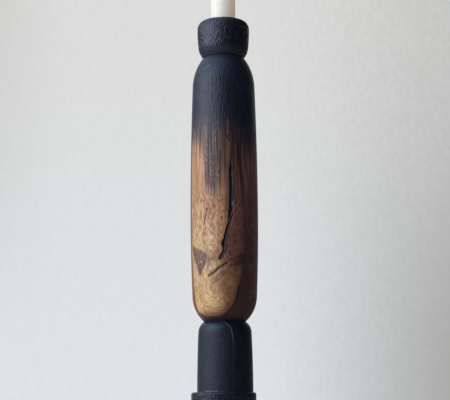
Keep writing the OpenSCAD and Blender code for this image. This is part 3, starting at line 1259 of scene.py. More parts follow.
@dataclass
class Column(Assembly):
    """The short black column, with a spigot below and a dowel hole on top."""

    foot_d: float = 48.8
    shoulder_d: float = 46.6
    shoulder_h: float = 9.0
    groove_d: float = 36.2
    spigot_d: float = 28.0
    pilot_d: float = 8.1
    pilot_high: float = 82.9
    dowel_bore_d: float = 16.2
    dowel_depth: float = 24.0
    row: float = 0.6
    columns: int = 320
    gather_angle: float = 8.0
    gather_share: float = 0.6
    dent_depth: float = 0.06
    dent_grain: Place = (5.0, 5.0, 9.0)
    hairline: Course = (
        (16.0, 0.0), (17.0, 22.0), (16.7, 43.5), (15.7, 49.0), (13.7, 52.9), (10.5, 56.0), (5.5, 57.8),
        (-1.0, 59.2), (-9.0, 60.1),
    )
    hairline_edge: Point = (0.34, 0.08)
    hairline_faint: float = 0.12
    hairline_rise: float = 0.75
    hairline_span: Point = (30.0, 58.0)
    wear: Course = (
        (-85.0, 0.0), (-74.0, 0.15), (-46.0, 0.2), (-43.0, 1.1), (-35.0, 1.1), (-32.0, 0.2), (-30.0, 0.2),
        (-28.0, 1.1), (-17.0, 1.1), (-14.0, 0.2), (2.0, 0.1), (9.0, 0.0),
    )
    wear_height: float = 0.95
    wear_grain: Place = (2.0, 2.0, 1.0)
    wear_share: float = 0.8
    wear_patchy: float = 0.9
    mark_edge: Point = (-0.3, 0.3)

    def build(self) -> None:
        """Makes and dresses the column."""
        self.dress(self.column(), BlackenedFinish().material())

    def column(self) -> Object:
        """Turns the column and marks its hairline and worn edge.

        Returns:
            The column.
        """
        low = node_span("collar")[1]
        spigot_low, high = node_span("column")
        tall = high - low
        edge = (self.foot_d / 2, 0.0)
        shoulder = (self.shoulder_d / 2, tall - self.shoulder_h)
        groove = (self.groove_d / 2, tall)
        pilot, spigot, bore = self.pilot_d / 2, self.spigot_d / 2, self.dowel_bore_d / 2
        below, top, floor = spigot_low - low, self.pilot_high - low, tall - self.dowel_depth
        outline = [(0.0, top), (pilot, top), (pilot, below), (spigot, below), (spigot, 0.0), edge]
        outline += swing(edge, UP, shoulder, groove, row=self.row)
        outline += [(bore, tall), (bore, floor), (0.0, floor)]
        mesh = turned(outline, self.columns, low)
        piece = self.add("column_black", mesh, "column", Slot.BLACKENED)
        self.mark(Skin(piece.data), low)
        return piece

    def mark(self, skin: Skin, low: float) -> None:
        """Dents the column a little, and paints the hairline and the worn lower edge.

        Args:
            skin: Surface of the column.
            low: Height of the column's lower edge.
        """
        skin.gather(self.gather_angle, self.gather_share)
        outer = smooth_step(skin.radii - self.groove_d / 2, *self.mark_edge)
        heights = skin.heights - low
        skin.push(outer * self.dent_depth * skin.uneven(*self.dent_grain))
        across = np.radians(skin.angles - read_off(heights, self.hairline, 1, 0)) * skin.radii
        fade = self.hairline_faint + self.hairline_rise * smooth_step(heights, *self.hairline_span)
        skin.paint("hairline", outer * smooth_step(np.abs(across), *self.hairline_edge) * fade)
        patchy = self.wear_share + self.wear_patchy * skin.uneven(*self.wear_grain)
        worn = read_off(skin.angles, self.wear) * patchy
        worn *= smooth_step(heights, self.wear_height, self.wear_height / 2)
        skin.paint("wear", np.clip(outer * worn, 0.0, 1.0))


class Unrolled:
    """The body's surface rolled out flat: millimetres right of the front and up from its lower end."""

    def __init__(self, skin: Skin, low: float, radius: float) -> None:
        """Rolls a surface out.

        Args:
            skin: Surface of the body.
            low: Height of its lower end.
            radius: Radius on which angles become lengths.
        """
        self.angles = skin.angles
        self.across = np.radians(self.angles) * radius
        self.up = skin.heights - low
        self.radius = radius

    def flat(self, course: Sequence[Point]) -> list[Point]:
        """Turns angles and heights into places on the flat surface."""
        return [(math.radians(angle) * self.radius, height) for angle, height in course]

    def nearest(self, start: Point, end: Point) -> tuple[Field, Field]:
        """Measures how far every vertex lies from a straight stretch.

        Args:
            start: Place where the stretch begins.
            end: Place where it ends.

        Returns:
            The distances, and the shares of the stretch at which it is nearest.
        """
        run, rise = end[0] - start[0], end[1] - start[1]
        across, up = self.across - start[0], self.up - start[1]
        share = np.clip((across * run + up * rise) / (run * run + rise * rise), 0.0, 1.0)
        return np.hypot(across - share * run, up - share * rise), share

    def away(self, course: Sequence[Point]) -> Field:
        """Measures how far every vertex lies from a course of angles and heights."""
        places = self.flat(course)
        return np.minimum.reduce([self.nearest(start, end)[0] for start, end in zip(places, places[1:])])

    def above(self, edge: Sequence[Point], soft: float) -> Field:
        """Rises from 0 below a line of heights over angles to 1 above it, over a soft width."""
        return np.clip(0.5 + (self.up - read_off(self.angles, edge)) / soft, 0.0, 1.0)

    def beyond(self, course: Sequence[Point], soft: Field | float, wander: Field | float = 0.0) -> Field:
        """Rises from 0 left of a line of angles over heights to 1 right of it, over a soft width."""
        across = np.radians(self.angles - read_off(self.up, course, 1, 0)) * self.radius
        return smooth_step(across + wander, -soft / 2, soft / 2)


@dataclass(frozen=True)
class Mark:
    """A line on the body, drawn along points of angle and height above the body's lower end."""

    course: Course
    width: float
    soft: float
    strength: float = 1.0
    fade: float = 0.15

    def draw(self, flat: Unrolled, wander: Field) -> Field:
        """Draws the line.

        Args:
            flat: Surface to draw on.
            wander: Unevenness of the line's edge.

        Returns:
            The line's strength at every vertex.
        """
        places = flat.flat(self.course)
        best = np.full(len(flat.up), np.inf)
        along = np.zeros(len(flat.up))
        for number, (start, end) in enumerate(zip(places, places[1:])):
            distance, share = flat.nearest(start, end)
            closer = distance < best
            along = np.where(closer, (number + share) / (len(places) - 1), along)
            best = np.where(closer, distance, best)
        ends = 1.0
        if self.fade:
            ends = smooth_step(along, 0.0, self.fade) * smooth_step(along, 1.0, 1.0 - self.fade)
        half, soft = self.width / 2, self.soft / 2
        away = best + wander * half * LINE_WANDER
        return self.strength * ends * smooth_step(away, half + soft, half - soft)


@dataclass(frozen=True)
class Patch:
    """A patch on the body, with corners of angle and height above the body's lower end."""

    outline: Course
    soft: float
    strength: float = 1.0

    def draw(self, flat: Unrolled, wander: Field) -> Field:
        """Fills the patch.

        Args:
            flat: Surface to draw on.
            wander: Unevenness of the patch's edge.

        Returns:
            The patch's strength at every vertex.
        """
        corners = flat.flat(self.outline)
        inside = np.zeros(len(flat.up), dtype=bool)
        best = np.full(len(flat.up), np.inf)
        for (x0, y0), (x1, y1) in zip(corners, corners[1:] + corners[:1]):
            if y0 != y1:
                crosses = (y0 > flat.up) != (y1 > flat.up)
                inside ^= crosses & (flat.across < (x1 - x0) * (flat.up - y0) / (y1 - y0) + x0)
            best = np.minimum(best, flat.nearest((x0, y0), (x1, y1))[0])
        inwards = np.where(inside, best, -best) + wander * self.soft * PATCH_WANDER
        return self.strength * smooth_step(inwards, -self.soft / 2, self.soft / 2)


@dataclass(frozen=True)
class Cleft:
    """One opening of the long check.

    Its rows hold a height, an angle, the width of the cleft and the width of the shelf on its right.
    """

    course: tuple[tuple[float, float, float, float], ...]

    def angle(self, heights: Field) -> Field:
        """Gives the angle of the cleft at each height."""
        return read_off(heights, self.course)

    def widths(self, heights: Field) -> tuple[Field, Field]:
        """Gives the widths of cleft and shelf at each height, 0 beyond both ends."""
        return read_off(heights, self.course, 0, 2), read_off(heights, self.course, 0, 3)


@dataclass
class DryingCheck:
    """The long check along the grain: two clefts that pass each other, with a splinter between them."""

    upper: Cleft = Cleft((
        (85.0, 5.9, 0.0, 0.0), (88.4, 7.3, 1.2, 0.3), (91.9, 9.0, 2.3, 0.5), (95.4, 10.7, 3.0, 0.9),
        (98.9, 10.6, 2.5, 1.6), (103.3, 10.5, 2.1, 2.1), (108.6, 11.2, 2.3, 2.1), (113.8, 11.3, 2.5, 2.3),
        (119.1, 11.0, 2.3, 2.3), (124.4, 10.8, 2.3, 2.3), (129.7, 10.5, 2.1, 2.1), (134.1, 11.1, 1.2, 0.9),
        (140.0, 12.0, 0.0, 0.0),
    ))
    lower: Cleft = Cleft((
        (51.0, -9.4, 0.0, 0.0), (52.4, -9.1, 1.1, 2.6), (53.4, -9.0, 1.3, 3.7), (55.0, -7.8, 1.3, 4.2),
        (56.4, -5.8, 1.2, 4.2), (58.1, -3.4, 1.1, 4.1), (60.3, -2.5, 1.0, 4.1), (62.4, -2.7, 1.2, 4.2),
        (64.1, -3.0, 2.1, 4.2), (66.7, -2.3, 2.2, 4.1), (69.5, -0.6, 1.7, 4.1), (74.9, 2.0, 1.6, 3.5),
        (78.8, 3.8, 1.5, 2.8), (82.0, 5.7, 1.5, 1.9), (84.9, 8.6, 1.2, 1.2), (87.6, 10.9, 1.2, 0.5),
        (90.2, 13.5, 1.0, 0.2), (93.5, 16.6, 0.0, 0.0),
    ))
    meeting: float = 88.0
    passing: float = 6.0
    depth: float = 3.5
    shelf_depth: float = 1.1
    ragged: float = 0.25
    bend_grain: Place = (5.0, 5.0, 2.5)
    chip_grain: Place = (1.5, 1.5, 1.2)
    chip_share: float = 0.7
    break_share: float = 0.95
    break_uneven: float = 0.2
    cleft_edge: Point = (0.12, -0.3)
    cleft_shade_band: Point = (0.2, 0.7)
    least: float = 0.05
    shelf_grain: Place = (30.0, 30.0, 9.0)
    fibre_grain: Place = (0.8, 0.8, 8.0)
    fibre_depth: float = 0.15

    def centre(self, heights: Field) -> Field:
        """Gives the angle of the check at each height."""
        share = smooth_step(heights, self.meeting - self.passing, self.meeting + self.passing)
        return self.lower.angle(heights) * (1.0 - share) + self.upper.angle(heights) * share

    def cut(self, skin: Skin, heights: Field, outer: Field) -> None:
        """Sinks the check into the body, paints its clefts near black as painted shade, and paints its
        shelves.

        Args:
            skin: Surface of the body.
            heights: Height of each vertex above the lower end of the body.
            outer: 1 on the outer surface, 0 in the bores.
        """
        chips = self.chip_share * skin.uneven(*self.chip_grain)
        wander = self.ragged * (skin.uneven(*self.bend_grain) + chips)
        fibres = skin.uneven(*self.fibre_grain)
        breaks = self.break_share + self.break_uneven * skin.uneven(*self.shelf_grain)
        sunk, clefts, shelves = (np.zeros(len(heights)) for _ in range(3))
        for opening in (self.upper, self.lower):
            across = np.radians(skin.angles - opening.angle(heights)) * skin.radii + wander
            half, width = opening.widths(heights)
            half, width = half / 2, width * breaks
            cleft = smooth_step(np.abs(across) - half, *self.cleft_edge) * (half > self.least)
            slope = np.clip(1.0 - (across - half) / np.maximum(width, self.least), 0.0, 1.0)
            shelf = slope * (across > 0.0) * (width > 2 * self.least)
            ledge = self.shelf_depth * np.clip(width / 2.0, 0.0, 1.0) * shelf
            sunk = np.maximum.reduce([sunk, self.depth * cleft * np.clip(half, 0.0, 1.0), ledge])
            # painted shade: the clefts' share of near-black colour
            clefts = np.maximum(clefts, smooth_step(cleft, *self.cleft_shade_band))
            shelves = np.maximum(shelves, shelf)
        skin.push_radially(-outer * (sunk + self.fibre_depth * shelves * (0.5 + fibres)))
        skin.paint("cleft", outer * clefts)
        skin.paint("shelf", outer * shelves)


@dataclass
class Body(Assembly):
    """The long barrel body with its checks, scars and char."""

    body_d: float = 59.7
    belly_h: float = 93.0
    low_d: float = 56.6
    low_h: float = 21.5
    high_d: float = 55.4
    high_h: float = 26.5
    groove_d: float = 36.2
    bore_d: float = 16.2
    low_bore_h: float = 26.0
    high_bore_h: float = 24.0
    row: float = 0.9
    columns: int = 320
    gather_share: float = 0.6
    wander_grain: Place = (3.0, 3.0, 4.0)
    mottle_grain: Place = (1.6, 1.6, 2.4)
    slant_depth: float = 1.6
    slant: Mark = Mark(
        ((-31.7, 36.8), (-25.1, 38.9), (-17.7, 41.0), (-11.8, 43.8), (-6.1, 46.0), (0.7, 47.7), (8.6, 50.0)),
        1.25, 0.7, 1.0, 0.1,
    )
    heart_right: Course = (
        (-45.0, 0.0), (-15.9, 1.2), (-2.4, 2.6), (6.0, 5.2), (13.1, 9.0), (18.2, 13.2), (21.7, 19.6),
        (25.0, 26.2), (26.9, 34.2), (29.8, 45.0), (32.6, 64.0), (31.5, 74.0), (32.0, 100.0), (32.4, 116.1),
        (31.0, 124.9), (28.2, 132.6), (25.8, 140.4), (24.5, 148.2), (23.7, 155.1), (21.9, 165.0),
        (20.0, 185.0),
    )
    heart_left: Course = (
        (-48.4, 0.0), (-57.2, 4.2), (-66.3, 7.7), (-66.4, 12.4), (-65.9, 18.3), (-68.6, 27.1),
        (-71.0, 34.6), (-73.0, 46.6), (-75.2, 64.0), (-74.5, 100.0), (-74.0, 140.0), (-76.0, 180.0),
    )
    red_left: Course = (
        (38.0, 30.0), (28.0, 46.0), (7.0, 52.0), (4.5, 60.0), (5.5, 70.0), (9.5, 80.0), (15.5, 90.0),
        (15.5, 118.0), (15.5, 136.0), (15.0, 150.0), (14.0, 180.0),
    )
    red_soft: float = 4.0
    smoke_edge: Course = (
        (-180.0, 178.0), (-120.0, 168.0), (-78.4, 159.0), (-61.9, 156.2), (-55.8, 155.8), (-47.3, 153.8),
        (-40.1, 150.5), (-38.0, 147.1), (-36.5, 133.1), (-34.0, 122.0), (-31.0, 116.0), (-27.0, 112.0),
        (-21.1, 110.0), (-16.0, 110.0), (-11.0, 112.0), (-8.5, 117.0), (-7.4, 132.2), (-6.8, 150.0),
        (-6.0, 190.0), (90.0, 190.0), (180.0, 178.0),
    )
    smoke_soft: float = 20.0
    char_edge: Course = (
        (-180.0, 164.0), (-60.0, 164.5), (-30.0, 168.0), (-8.0, 164.0), (5.3, 161.0), (11.1, 160.0),
        (18.9, 162.0), (30.0, 156.0), (60.0, 152.0), (180.0, 164.0),
    )
    char_soft: float = 42.0
    toast_edge: Course = (
        (-180.0, 155.0), (-60.0, 170.0), (-40.0, 165.0), (-12.0, 140.0), (-7.0, 126.0), (0.0, 122.0),
        (12.0, 120.0), (18.0, 116.0), (28.0, 124.0), (40.0, 148.0), (60.0, 156.0), (180.0, 155.0),
    )
    toast_soft: float = 60.0
    scar: Patch = Patch((
        (-68.9, 65.8), (-55.8, 63.8), (-43.6, 60.8), (-33.5, 57.6), (-32.0, 54.0), (-34.1, 49.5),
        (-39.0, 45.1), (-43.9, 40.6), (-46.9, 38.7), (-49.7, 43.1), (-55.0, 48.0), (-61.1, 53.5),
        (-67.3, 59.7),
    ), 1.8)
    scar_tip: Patch = Patch(((-51.5, 47.0), (-38.0, 47.5), (-42.0, 42.5), (-46.9, 38.0)), 3.0, 0.75)
    bruise: Patch = Patch((
        (-18.8, 60.5), (-13.9, 62.5), (-8.4, 61.0), (-7.3, 54.7), (-9.8, 51.9), (-15.5, 50.2),
        (-19.0, 52.6), (-20.1, 56.1),
    ), 5.0, 0.3)
    bruise_glow: Patch = replace(bruise, strength=0.6)
    # painted shade: a dark patch for the shade in a hollow right of the slanting check
    shaded_hollow: Patch = Patch((
        (7.0, 46.2), (15.0, 49.4), (21.0, 53.0), (28.0, 56.5), (37.0, 56.0), (38.0, 51.5), (31.0, 47.6),
        (18.0, 45.2),
    ), 3.4, 0.72)
    tinted: Patch = Patch((
        (-30.0, 35.0), (-14.0, 43.0), (7.0, 43.0), (9.0, 31.0), (-6.0, 21.0), (-22.0, 24.0),
    ), 12.0, 0.22)
    toned: Patch = Patch((
        (-8.0, 39.0), (-3.0, 43.0), (5.2, 46.0), (17.3, 44.4), (21.5, 38.4), (20.0, 30.7), (15.0, 22.0),
        (7.0, 16.0), (-3.0, 19.0), (-8.0, 28.0),
    ), 10.0, 0.5)
    shaded: Patch = Patch((
        (-5.6, 55.5), (1.9, 56.3), (10.4, 57.2), (19.0, 58.2), (22.7, 51.3), (12.1, 50.3), (1.9, 49.4),
        (-4.9, 50.3),
    ), 4.0, 0.85)
    # a darker patch between the scar and the bruise
    dark_patch_by_scar: Patch = Patch((
        (-38.8, 58.0), (-25.6, 61.1), (-15.0, 58.2), (-13.3, 53.0), (-17.8, 48.8), (-30.0, 44.8),
        (-39.2, 48.5),
    ), 6.0, 0.42)
    # a darker band along the slanting check
    dark_band_by_slant: Patch = Patch((
        (-26.5, 37.8), (-21.6, 42.4), (-11.8, 44.8), (-1.5, 47.7), (3.0, 46.0), (1.0, 40.0), (-8.5, 34.9),
        (-19.2, 33.3),
    ), 5.0, 0.5)
    browned: Patch = Patch((
        (-9.0, 41.0), (-3.0, 47.0), (8.6, 50.7), (22.7, 52.6), (26.0, 45.3), (24.5, 38.0), (15.0, 36.5),
        (2.0, 36.0),
    ), 4.0, 0.85)
    # painted sheen: a paler band on the heartwood's right rim, where light grazes the surface
    rim_sheen: Patch = Patch(((52.0, 20.0), (52.0, 92.0), (95.0, 92.0), (95.0, 20.0)), 18.0, 0.5)
    gold_patch: Patch = Patch((
        (4.1, 157.7), (9.7, 153.8), (9.5, 143.9), (7.5, 136.0), (3.8, 140.9),
    ), 2.5, 0.3)
    dark_marks: tuple[Mark, ...] = (
        Mark((
            (21.9, 165.0), (23.7, 155.1), (24.5, 148.2), (25.9, 140.4), (28.2, 132.6), (30.6, 124.9),
            (32.8, 112.0),
        ), 2.8, 1.6, 1.0),
        Mark(((31.8, 122.0), (31.8, 112.0), (31.6, 98.0)), 2.6, 2.0, 0.7),
        Mark(((13.0, 95.0), (10.6, 91.0), (8.4, 88.0), (6.2, 85.6), (4.4, 82.8)), 2.6, 2.0, 0.72, 0.1),
        Mark(((15.8, 139.0), (17.4, 126.0), (17.8, 112.0), (17.2, 100.0)), 1.2, 1.2, 0.7),
        Mark(((30.8, 165.0), (32.9, 160.0), (35.7, 154.0)), 0.9, 0.9, 0.7),
        Mark((
            (-29.7, 98.0), (-31.1, 94.3), (-33.2, 90.1), (-35.7, 84.5), (-36.6, 82.0),
        ), 1.5, 0.9, 0.86, 0.08),
        Mark(((-38.2, 76.5), (-38.8, 73.0)), 1.3, 1.2, 0.45, 0.0),
        Mark(((2.7, 48.8), (8.6, 50.3), (15.5, 52.1), (24.5, 54.4)), 0.7, 0.6, 0.75, 0.3),
        Mark((
            (28.7, 34.2), (24.4, 26.2), (21.7, 19.6), (18.2, 13.7), (13.1, 9.8), (6.0, 6.0), (-2.4, 3.3),
            (-15.9, 2.0), (-32.4, 2.0), (-48.4, 2.6), (-57.2, 4.9), (-66.3, 7.7),
        ), 2.8, 2.0, 1.0, 0.08),
        Mark((
            (15.9, 167.8), (14.7, 157.8), (13.5, 147.9), (12.2, 138.0), (10.8, 129.0),
        ), 2.4, 1.8, 0.9, 0.1),
        Mark(((-27.5, 172.8), (-26.7, 148.0), (-26.3, 128.0), (-25.9, 118.4)), 0.9, 0.9, 0.7),
        Mark(((-21.8, 170.0), (-21.0, 142.8), (-20.3, 118.2), (-21.3, 105.5)), 0.8, 0.8, 0.7),
        Mark(((-15.8, 158.0), (-15.3, 137.7), (-15.4, 123.0)), 0.7, 0.8, 0.55),
        Mark(((-11.7, 169.0), (-10.2, 144.8), (-9.6, 124.0)), 0.8, 0.8, 0.6),
        Mark(((-45.4, 167.5), (-43.6, 154.0)), 0.9, 0.9, 0.5),
        Mark(((1.7, 167.1), (1.5, 154.2), (1.9, 138.0), (1.2, 130.0)), 1.1, 1.2, 0.7),
        Mark(((-49.3, 48.3), (-44.2, 48.7), (-40.3, 49.7)), 0.8, 0.6, 0.9, 0.1),
        Mark(((-10.4, 59.6), (-10.2, 58.8)), 1.3, 1.0, 0.7, 0.0),
        Mark(((7.0, 49.6), (17.8, 52.9), (27.5, 56.4)), 1.0, 0.9, 0.8, 0.25),
        Mark((
            (-66.3, 9.0), (-65.9, 18.3), (-68.6, 27.1), (-71.0, 34.6), (-73.0, 46.6), (-75.2, 62.0),
        ), 0.9, 1.0, 0.55),
    )
    purple_marks: tuple[Mark, ...] = (
        # painted shade: a purple border along the long check's left wall, which faces away from the light
        Mark(((8.6, 146.0), (6.4, 130.0), (6.2, 114.0), (5.8, 98.0), (2.2, 84.0)), 3.4, 2.8, 0.85, 0.2),
        Mark((
            (-71.7, 66.4), (-64.4, 59.5), (-58.8, 52.8), (-52.1, 47.3), (-48.8, 42.5), (-46.5, 38.0),
        ), 1.8, 1.6, 0.9, 0.05),
        Mark((
            (-43.6, 61.2), (-33.5, 57.8), (-32.4, 54.0), (-34.3, 49.5), (-39.0, 45.1),
        ), 1.2, 1.4, 0.6, 0.1),
        Mark(((-25.5, 29.7), (-19.2, 32.2), (-13.2, 33.5), (-6.2, 36.3)), 1.8, 1.8, 0.85, 0.25),
        Mark(((-5.8, 68.0), (-6.4, 64.5)), 2.2, 2.0, 0.7, 0.0),
        Mark(((-28.8, 61.9), (-28.8, 60.9)), 1.3, 1.2, 0.5, 0.0),
        Mark(((22.2, 88.0), (22.4, 86.0)), 2.4, 2.0, 0.6, 0.0),
        Mark(((22.0, 74.0), (22.2, 72.0)), 2.0, 1.8, 0.6, 0.0),
        Mark(((32.6, 62.5), (33.3, 61.0)), 2.0, 1.8, 0.6, 0.0),
    )
    amber_marks: tuple[Mark, ...] = (
        Mark((
            (-71.0, 94.0), (-71.0, 82.0), (-72.0, 69.0), (-72.5, 52.0), (-73.0, 38.0), (-70.0, 26.0),
            (-66.0, 16.0),
        ), 5.5, 4.0, 0.5),
        Mark(((-33.5, 173.0), (-32.5, 152.0)), 1.3, 1.2, 0.45, 0.3),
        Mark(((6.3, 177.6), (6.6, 158.7)), 1.6, 1.6, 0.36, 0.25),
        Mark(((-6.0, 168.0), (-5.5, 144.0)), 1.4, 1.4, 0.32, 0.25),
        Mark(((-50.0, 6.2), (-30.0, 5.4), (-10.0, 6.4), (4.0, 9.6)), 2.6, 3.0, 0.2, 0.2),
    )
    pale_and_glint_marks: tuple[Mark, ...] = (
        Mark(((-26.6, 34.2), (-17.8, 38.0), (-9.6, 41.3), (-1.6, 43.5), (5.2, 45.8)), 1.5, 1.4, 0.3, 0.2),
        Mark(((-51.7, 68.8), (-46.5, 67.1), (-41.0, 68.0)), 1.0, 0.9, 0.6, 0.3),
        Mark(((-38.7, 70.2), (-29.2, 70.7), (-19.3, 73.3)), 1.1, 0.9, 0.6, 0.3),
        Mark(((-24.8, 65.9), (-17.8, 65.7)), 1.5, 1.0, 0.6, 0.2),
        # painted highlight: a glint on the lip of the small nick
        Mark(((-44.9, 49.9), (-40.2, 50.9)), 0.7, 0.6, 0.8, 0.1),
        Mark(((-61.8, 172.0), (-60.1, 146.0)), 0.6, 0.6, 0.4, 0.2),
        Mark(((14.6, 103.0), (14.2, 98.0)), 1.2, 0.9, 0.16, 0.2),
        Mark(((13.6, 128.0), (14.6, 118.0), (14.4, 108.0)), 0.9, 0.9, 0.06, 0.2),
    )
    scratch: Mark = Mark(((-44.2, 222.0), (-37.1, 224.1), (-28.4, 225.2)), 0.6, 0.5, 0.8, 0.2)
    heart_softness: Course = (
        (0.0, 2.0), (36.0, 2.5), (50.0, 10.0), (70.0, 9.0), (84.0, 5.5), (100.0, 3.5), (236.0, 3.0),
    )
    edge_wander: float = 1.1
    rind_soft: float = 1.2
    rind_blur: float = 3.0
    rind_blur_span: Point = (60.0, 90.0)
    rind_end: Point = (-120.0, -95.0)
    stain_and_sheen_share: float = 0.85
    stain_and_sheen_mottle: float = 0.3
    # painted shade in the groove of the slanting check
    slant_shade_share: float = 0.85
    # darker towards the lower end of the body
    lower_end_darkening: float = 0.95
    lower_end_fade: Point = (4.0, 1.0)
    blend: float = 5.0
    brim_fade: Point = (13.0, 1.0)
    brim_top: Point = (60.0, 40.0)

    def build(self) -> None:
        """Makes and dresses the body."""
        self.dress(self.body(), ScorchedFinish().material())

    def body(self) -> Object:
        """Turns the barrel, cuts its checks and paints its marks.

        Returns:
            The body.
        """
        low, high = node_span("body")
        tall = high - low
        belly = (self.body_d / 2, self.belly_h)
        lower = ((self.low_d / 2, self.low_h), (self.groove_d / 2, 0.0))
        upper = ((self.high_d / 2, tall - self.high_h), (self.groove_d / 2, tall))
        bore, floor = self.bore_d / 2, tall - self.high_bore_h
        outline = [(0.0, self.low_bore_h), (bore, self.low_bore_h), (bore, 0.0)]
        outline += swing(belly, DOWN, *lower, row=self.row)[::-1] + [belly]
        outline += swing(belly, UP, *upper, row=self.row)
        outline += [(bore, tall), (bore, floor), (0.0, floor)]
        mesh = turned(outline, self.columns, low)
        piece = self.add("body_scorched", mesh, "body", Slot.SCORCHED)
        skin = Skin(piece.data)
        heights = skin.heights - low
        check = DryingCheck()
        skin.gather(check.centre(heights), self.gather_share)
        outer = (skin.radii > self.groove_d / 2 - 0.05).astype(float)
        flat = Unrolled(skin, low, self.body_d / 2)
        wander = skin.uneven(*self.wander_grain)
        check.cut(skin, heights, outer)
        slant = self.slant.draw(flat, wander)
        skin.push_radially(-outer * slant * self.slant_depth)
        self.paint_wood(skin, flat, wander)
        self.paint_marks(skin, flat, wander, slant)
        return piece

    def paint_wood(self, skin: Skin, flat: Unrolled, wander: Field) -> None:
        """Paints the shares of heartwood, smoke and char.

        Args:
            skin: Surface of the body.
            flat: The same surface, rolled out.
            wander: Slow unevenness of every edge.
        """
        soft = read_off(flat.up, self.heart_softness)
        right = flat.beyond(self.heart_right, soft, wander * self.edge_wander)
        blur = self.rind_soft + self.rind_blur * smooth_step(flat.up, *self.rind_blur_span)
        left = 1.0 - flat.beyond(self.heart_left, blur)
        skin.paint("heart", np.maximum(right, left))
        skin.paint("rind", left * smooth_step(flat.angles, *self.rind_end))
        skin.paint("red", flat.beyond(self.red_left, self.red_soft))
        skin.paint("inwards", self.inwards(flat))
        skin.paint("smoke", flat.above(self.smoke_edge, self.smoke_soft))
        skin.paint("toast", flat.above(self.toast_edge, self.toast_soft))
        skin.paint("char", flat.above(self.char_edge, self.char_soft))

    def paint_marks(self, skin: Skin, flat: Unrolled, wander: Field, slant: Field) -> None:
        """Paints the shares of each colour that patches and lines have.

        Args:
            skin: Surface of the body.
            flat: The same surface, rolled out.
            wander: Slow unevenness of every edge.
            slant: Strength of the slanting check.
        """
        mottled = np.clip(self.stain_and_sheen_share + self.stain_and_sheen_mottle * skin.uneven(*self.mottle_grain), 0.0, 1.0)
        brim = smooth_step(flat.away(self.heart_right), *self.brim_fade)
        brim *= smooth_step(flat.up, *self.brim_top)
        # darker towards the lower end of the body
        lower_end_and_slant_shade = self.lower_end_darkening * smooth_step(flat.up + wander, *self.lower_end_fade)
        # painted shade in the groove of the slanting check
        lower_end_and_slant_shade = np.maximum(lower_end_and_slant_shade, self.slant_shade_share * slant)
        marks: dict[str, tuple[Mark | Patch, ...]] = {
            "stain_and_sheen": (self.scar, self.rim_sheen),
            "brim": (self.toned, self.shaded, self.browned),
            "purple": (self.bruise, self.scar_tip, self.dark_patch_by_scar, self.dark_band_by_slant, *self.purple_marks),
            # the hollow is painted shade; the dark marks are lines in the wood
            "dark": (self.shaded_hollow, *self.dark_marks),
            "amber": (self.gold_patch, self.bruise_glow, self.tinted, *self.amber_marks),
            "pale": self.pale_and_glint_marks,
            "scratch": (self.scratch,),
        }
        shares = {
            name: np.maximum.reduce([mark.draw(flat, wander) for mark in drawn])
            for name, drawn in marks.items()
        }
        shares["stain_and_sheen"] *= mottled
        shares["brim"] = np.maximum(shares["brim"], brim)
        shares["dark"] = np.maximum(shares["dark"], lower_end_and_slant_shade)
        for name, share in shares.items():
            skin.paint(name, share)

    def inwards(self, flat: Unrolled) -> Field:
        """Measures how far every vertex lies from the edge of the sapwood.

        Args:
            flat: Surface of the body, rolled out.

        Returns:
            The distances in millimetres, blended where two edges are near.
        """
        nearness = np.zeros(len(flat.up))
        for turn in (-360.0, 0.0, 360.0):
            for course in (self.heart_left, self.heart_right):
                away = flat.away([(angle + turn, height) for angle, height in course])
                nearness += np.exp(-away / self.blend)
        return -self.blend * np.log(nearness)


@dataclass
class Dowels(Assembly):
    """The two fluted dowels that join column, body and cup."""

    dowel_d: float = 16.0
    chamfer: float = 1.2
    flutes: int = 16
    flute_depth: float = 0.35
    flute_columns: int = 8
    row: float = 4.0

    def build(self) -> None:
        """Makes and dresses both dowels."""
        beech = BeechFinish().material()
        for node in ("low_dowel", "top_dowel"):
            self.dress(self.dowel(node), beech)

    def dowel(self, node: str) -> Object:
        """Turns one dowel and presses its flutes.

        Args:
            node: Node that the dowel stands for.

        Returns:
            The dowel.
        """
        low, high = node_span(node)
        radius, bevel = self.dowel_d / 2, self.chamfer
        outline = [(0.0, low), (radius - bevel, low), (radius, low + bevel)]
        outline += rows_between((radius, low + bevel), (radius, high - bevel), self.row)
        outline += [(radius - bevel, high), (0.0, high)]
        mesh = turned(outline, self.flutes * self.flute_columns)
        piece = self.add(f"{node}_beech", mesh, node, Slot.DOWEL)
        skin = Skin(piece.data)
        wave = np.maximum(0.0, np.cos(np.radians(skin.angles) * self.flutes)) ** 2
        skin.push_radially(-self.flute_depth * wave * (skin.radii > radius - 0.1))
        return piece


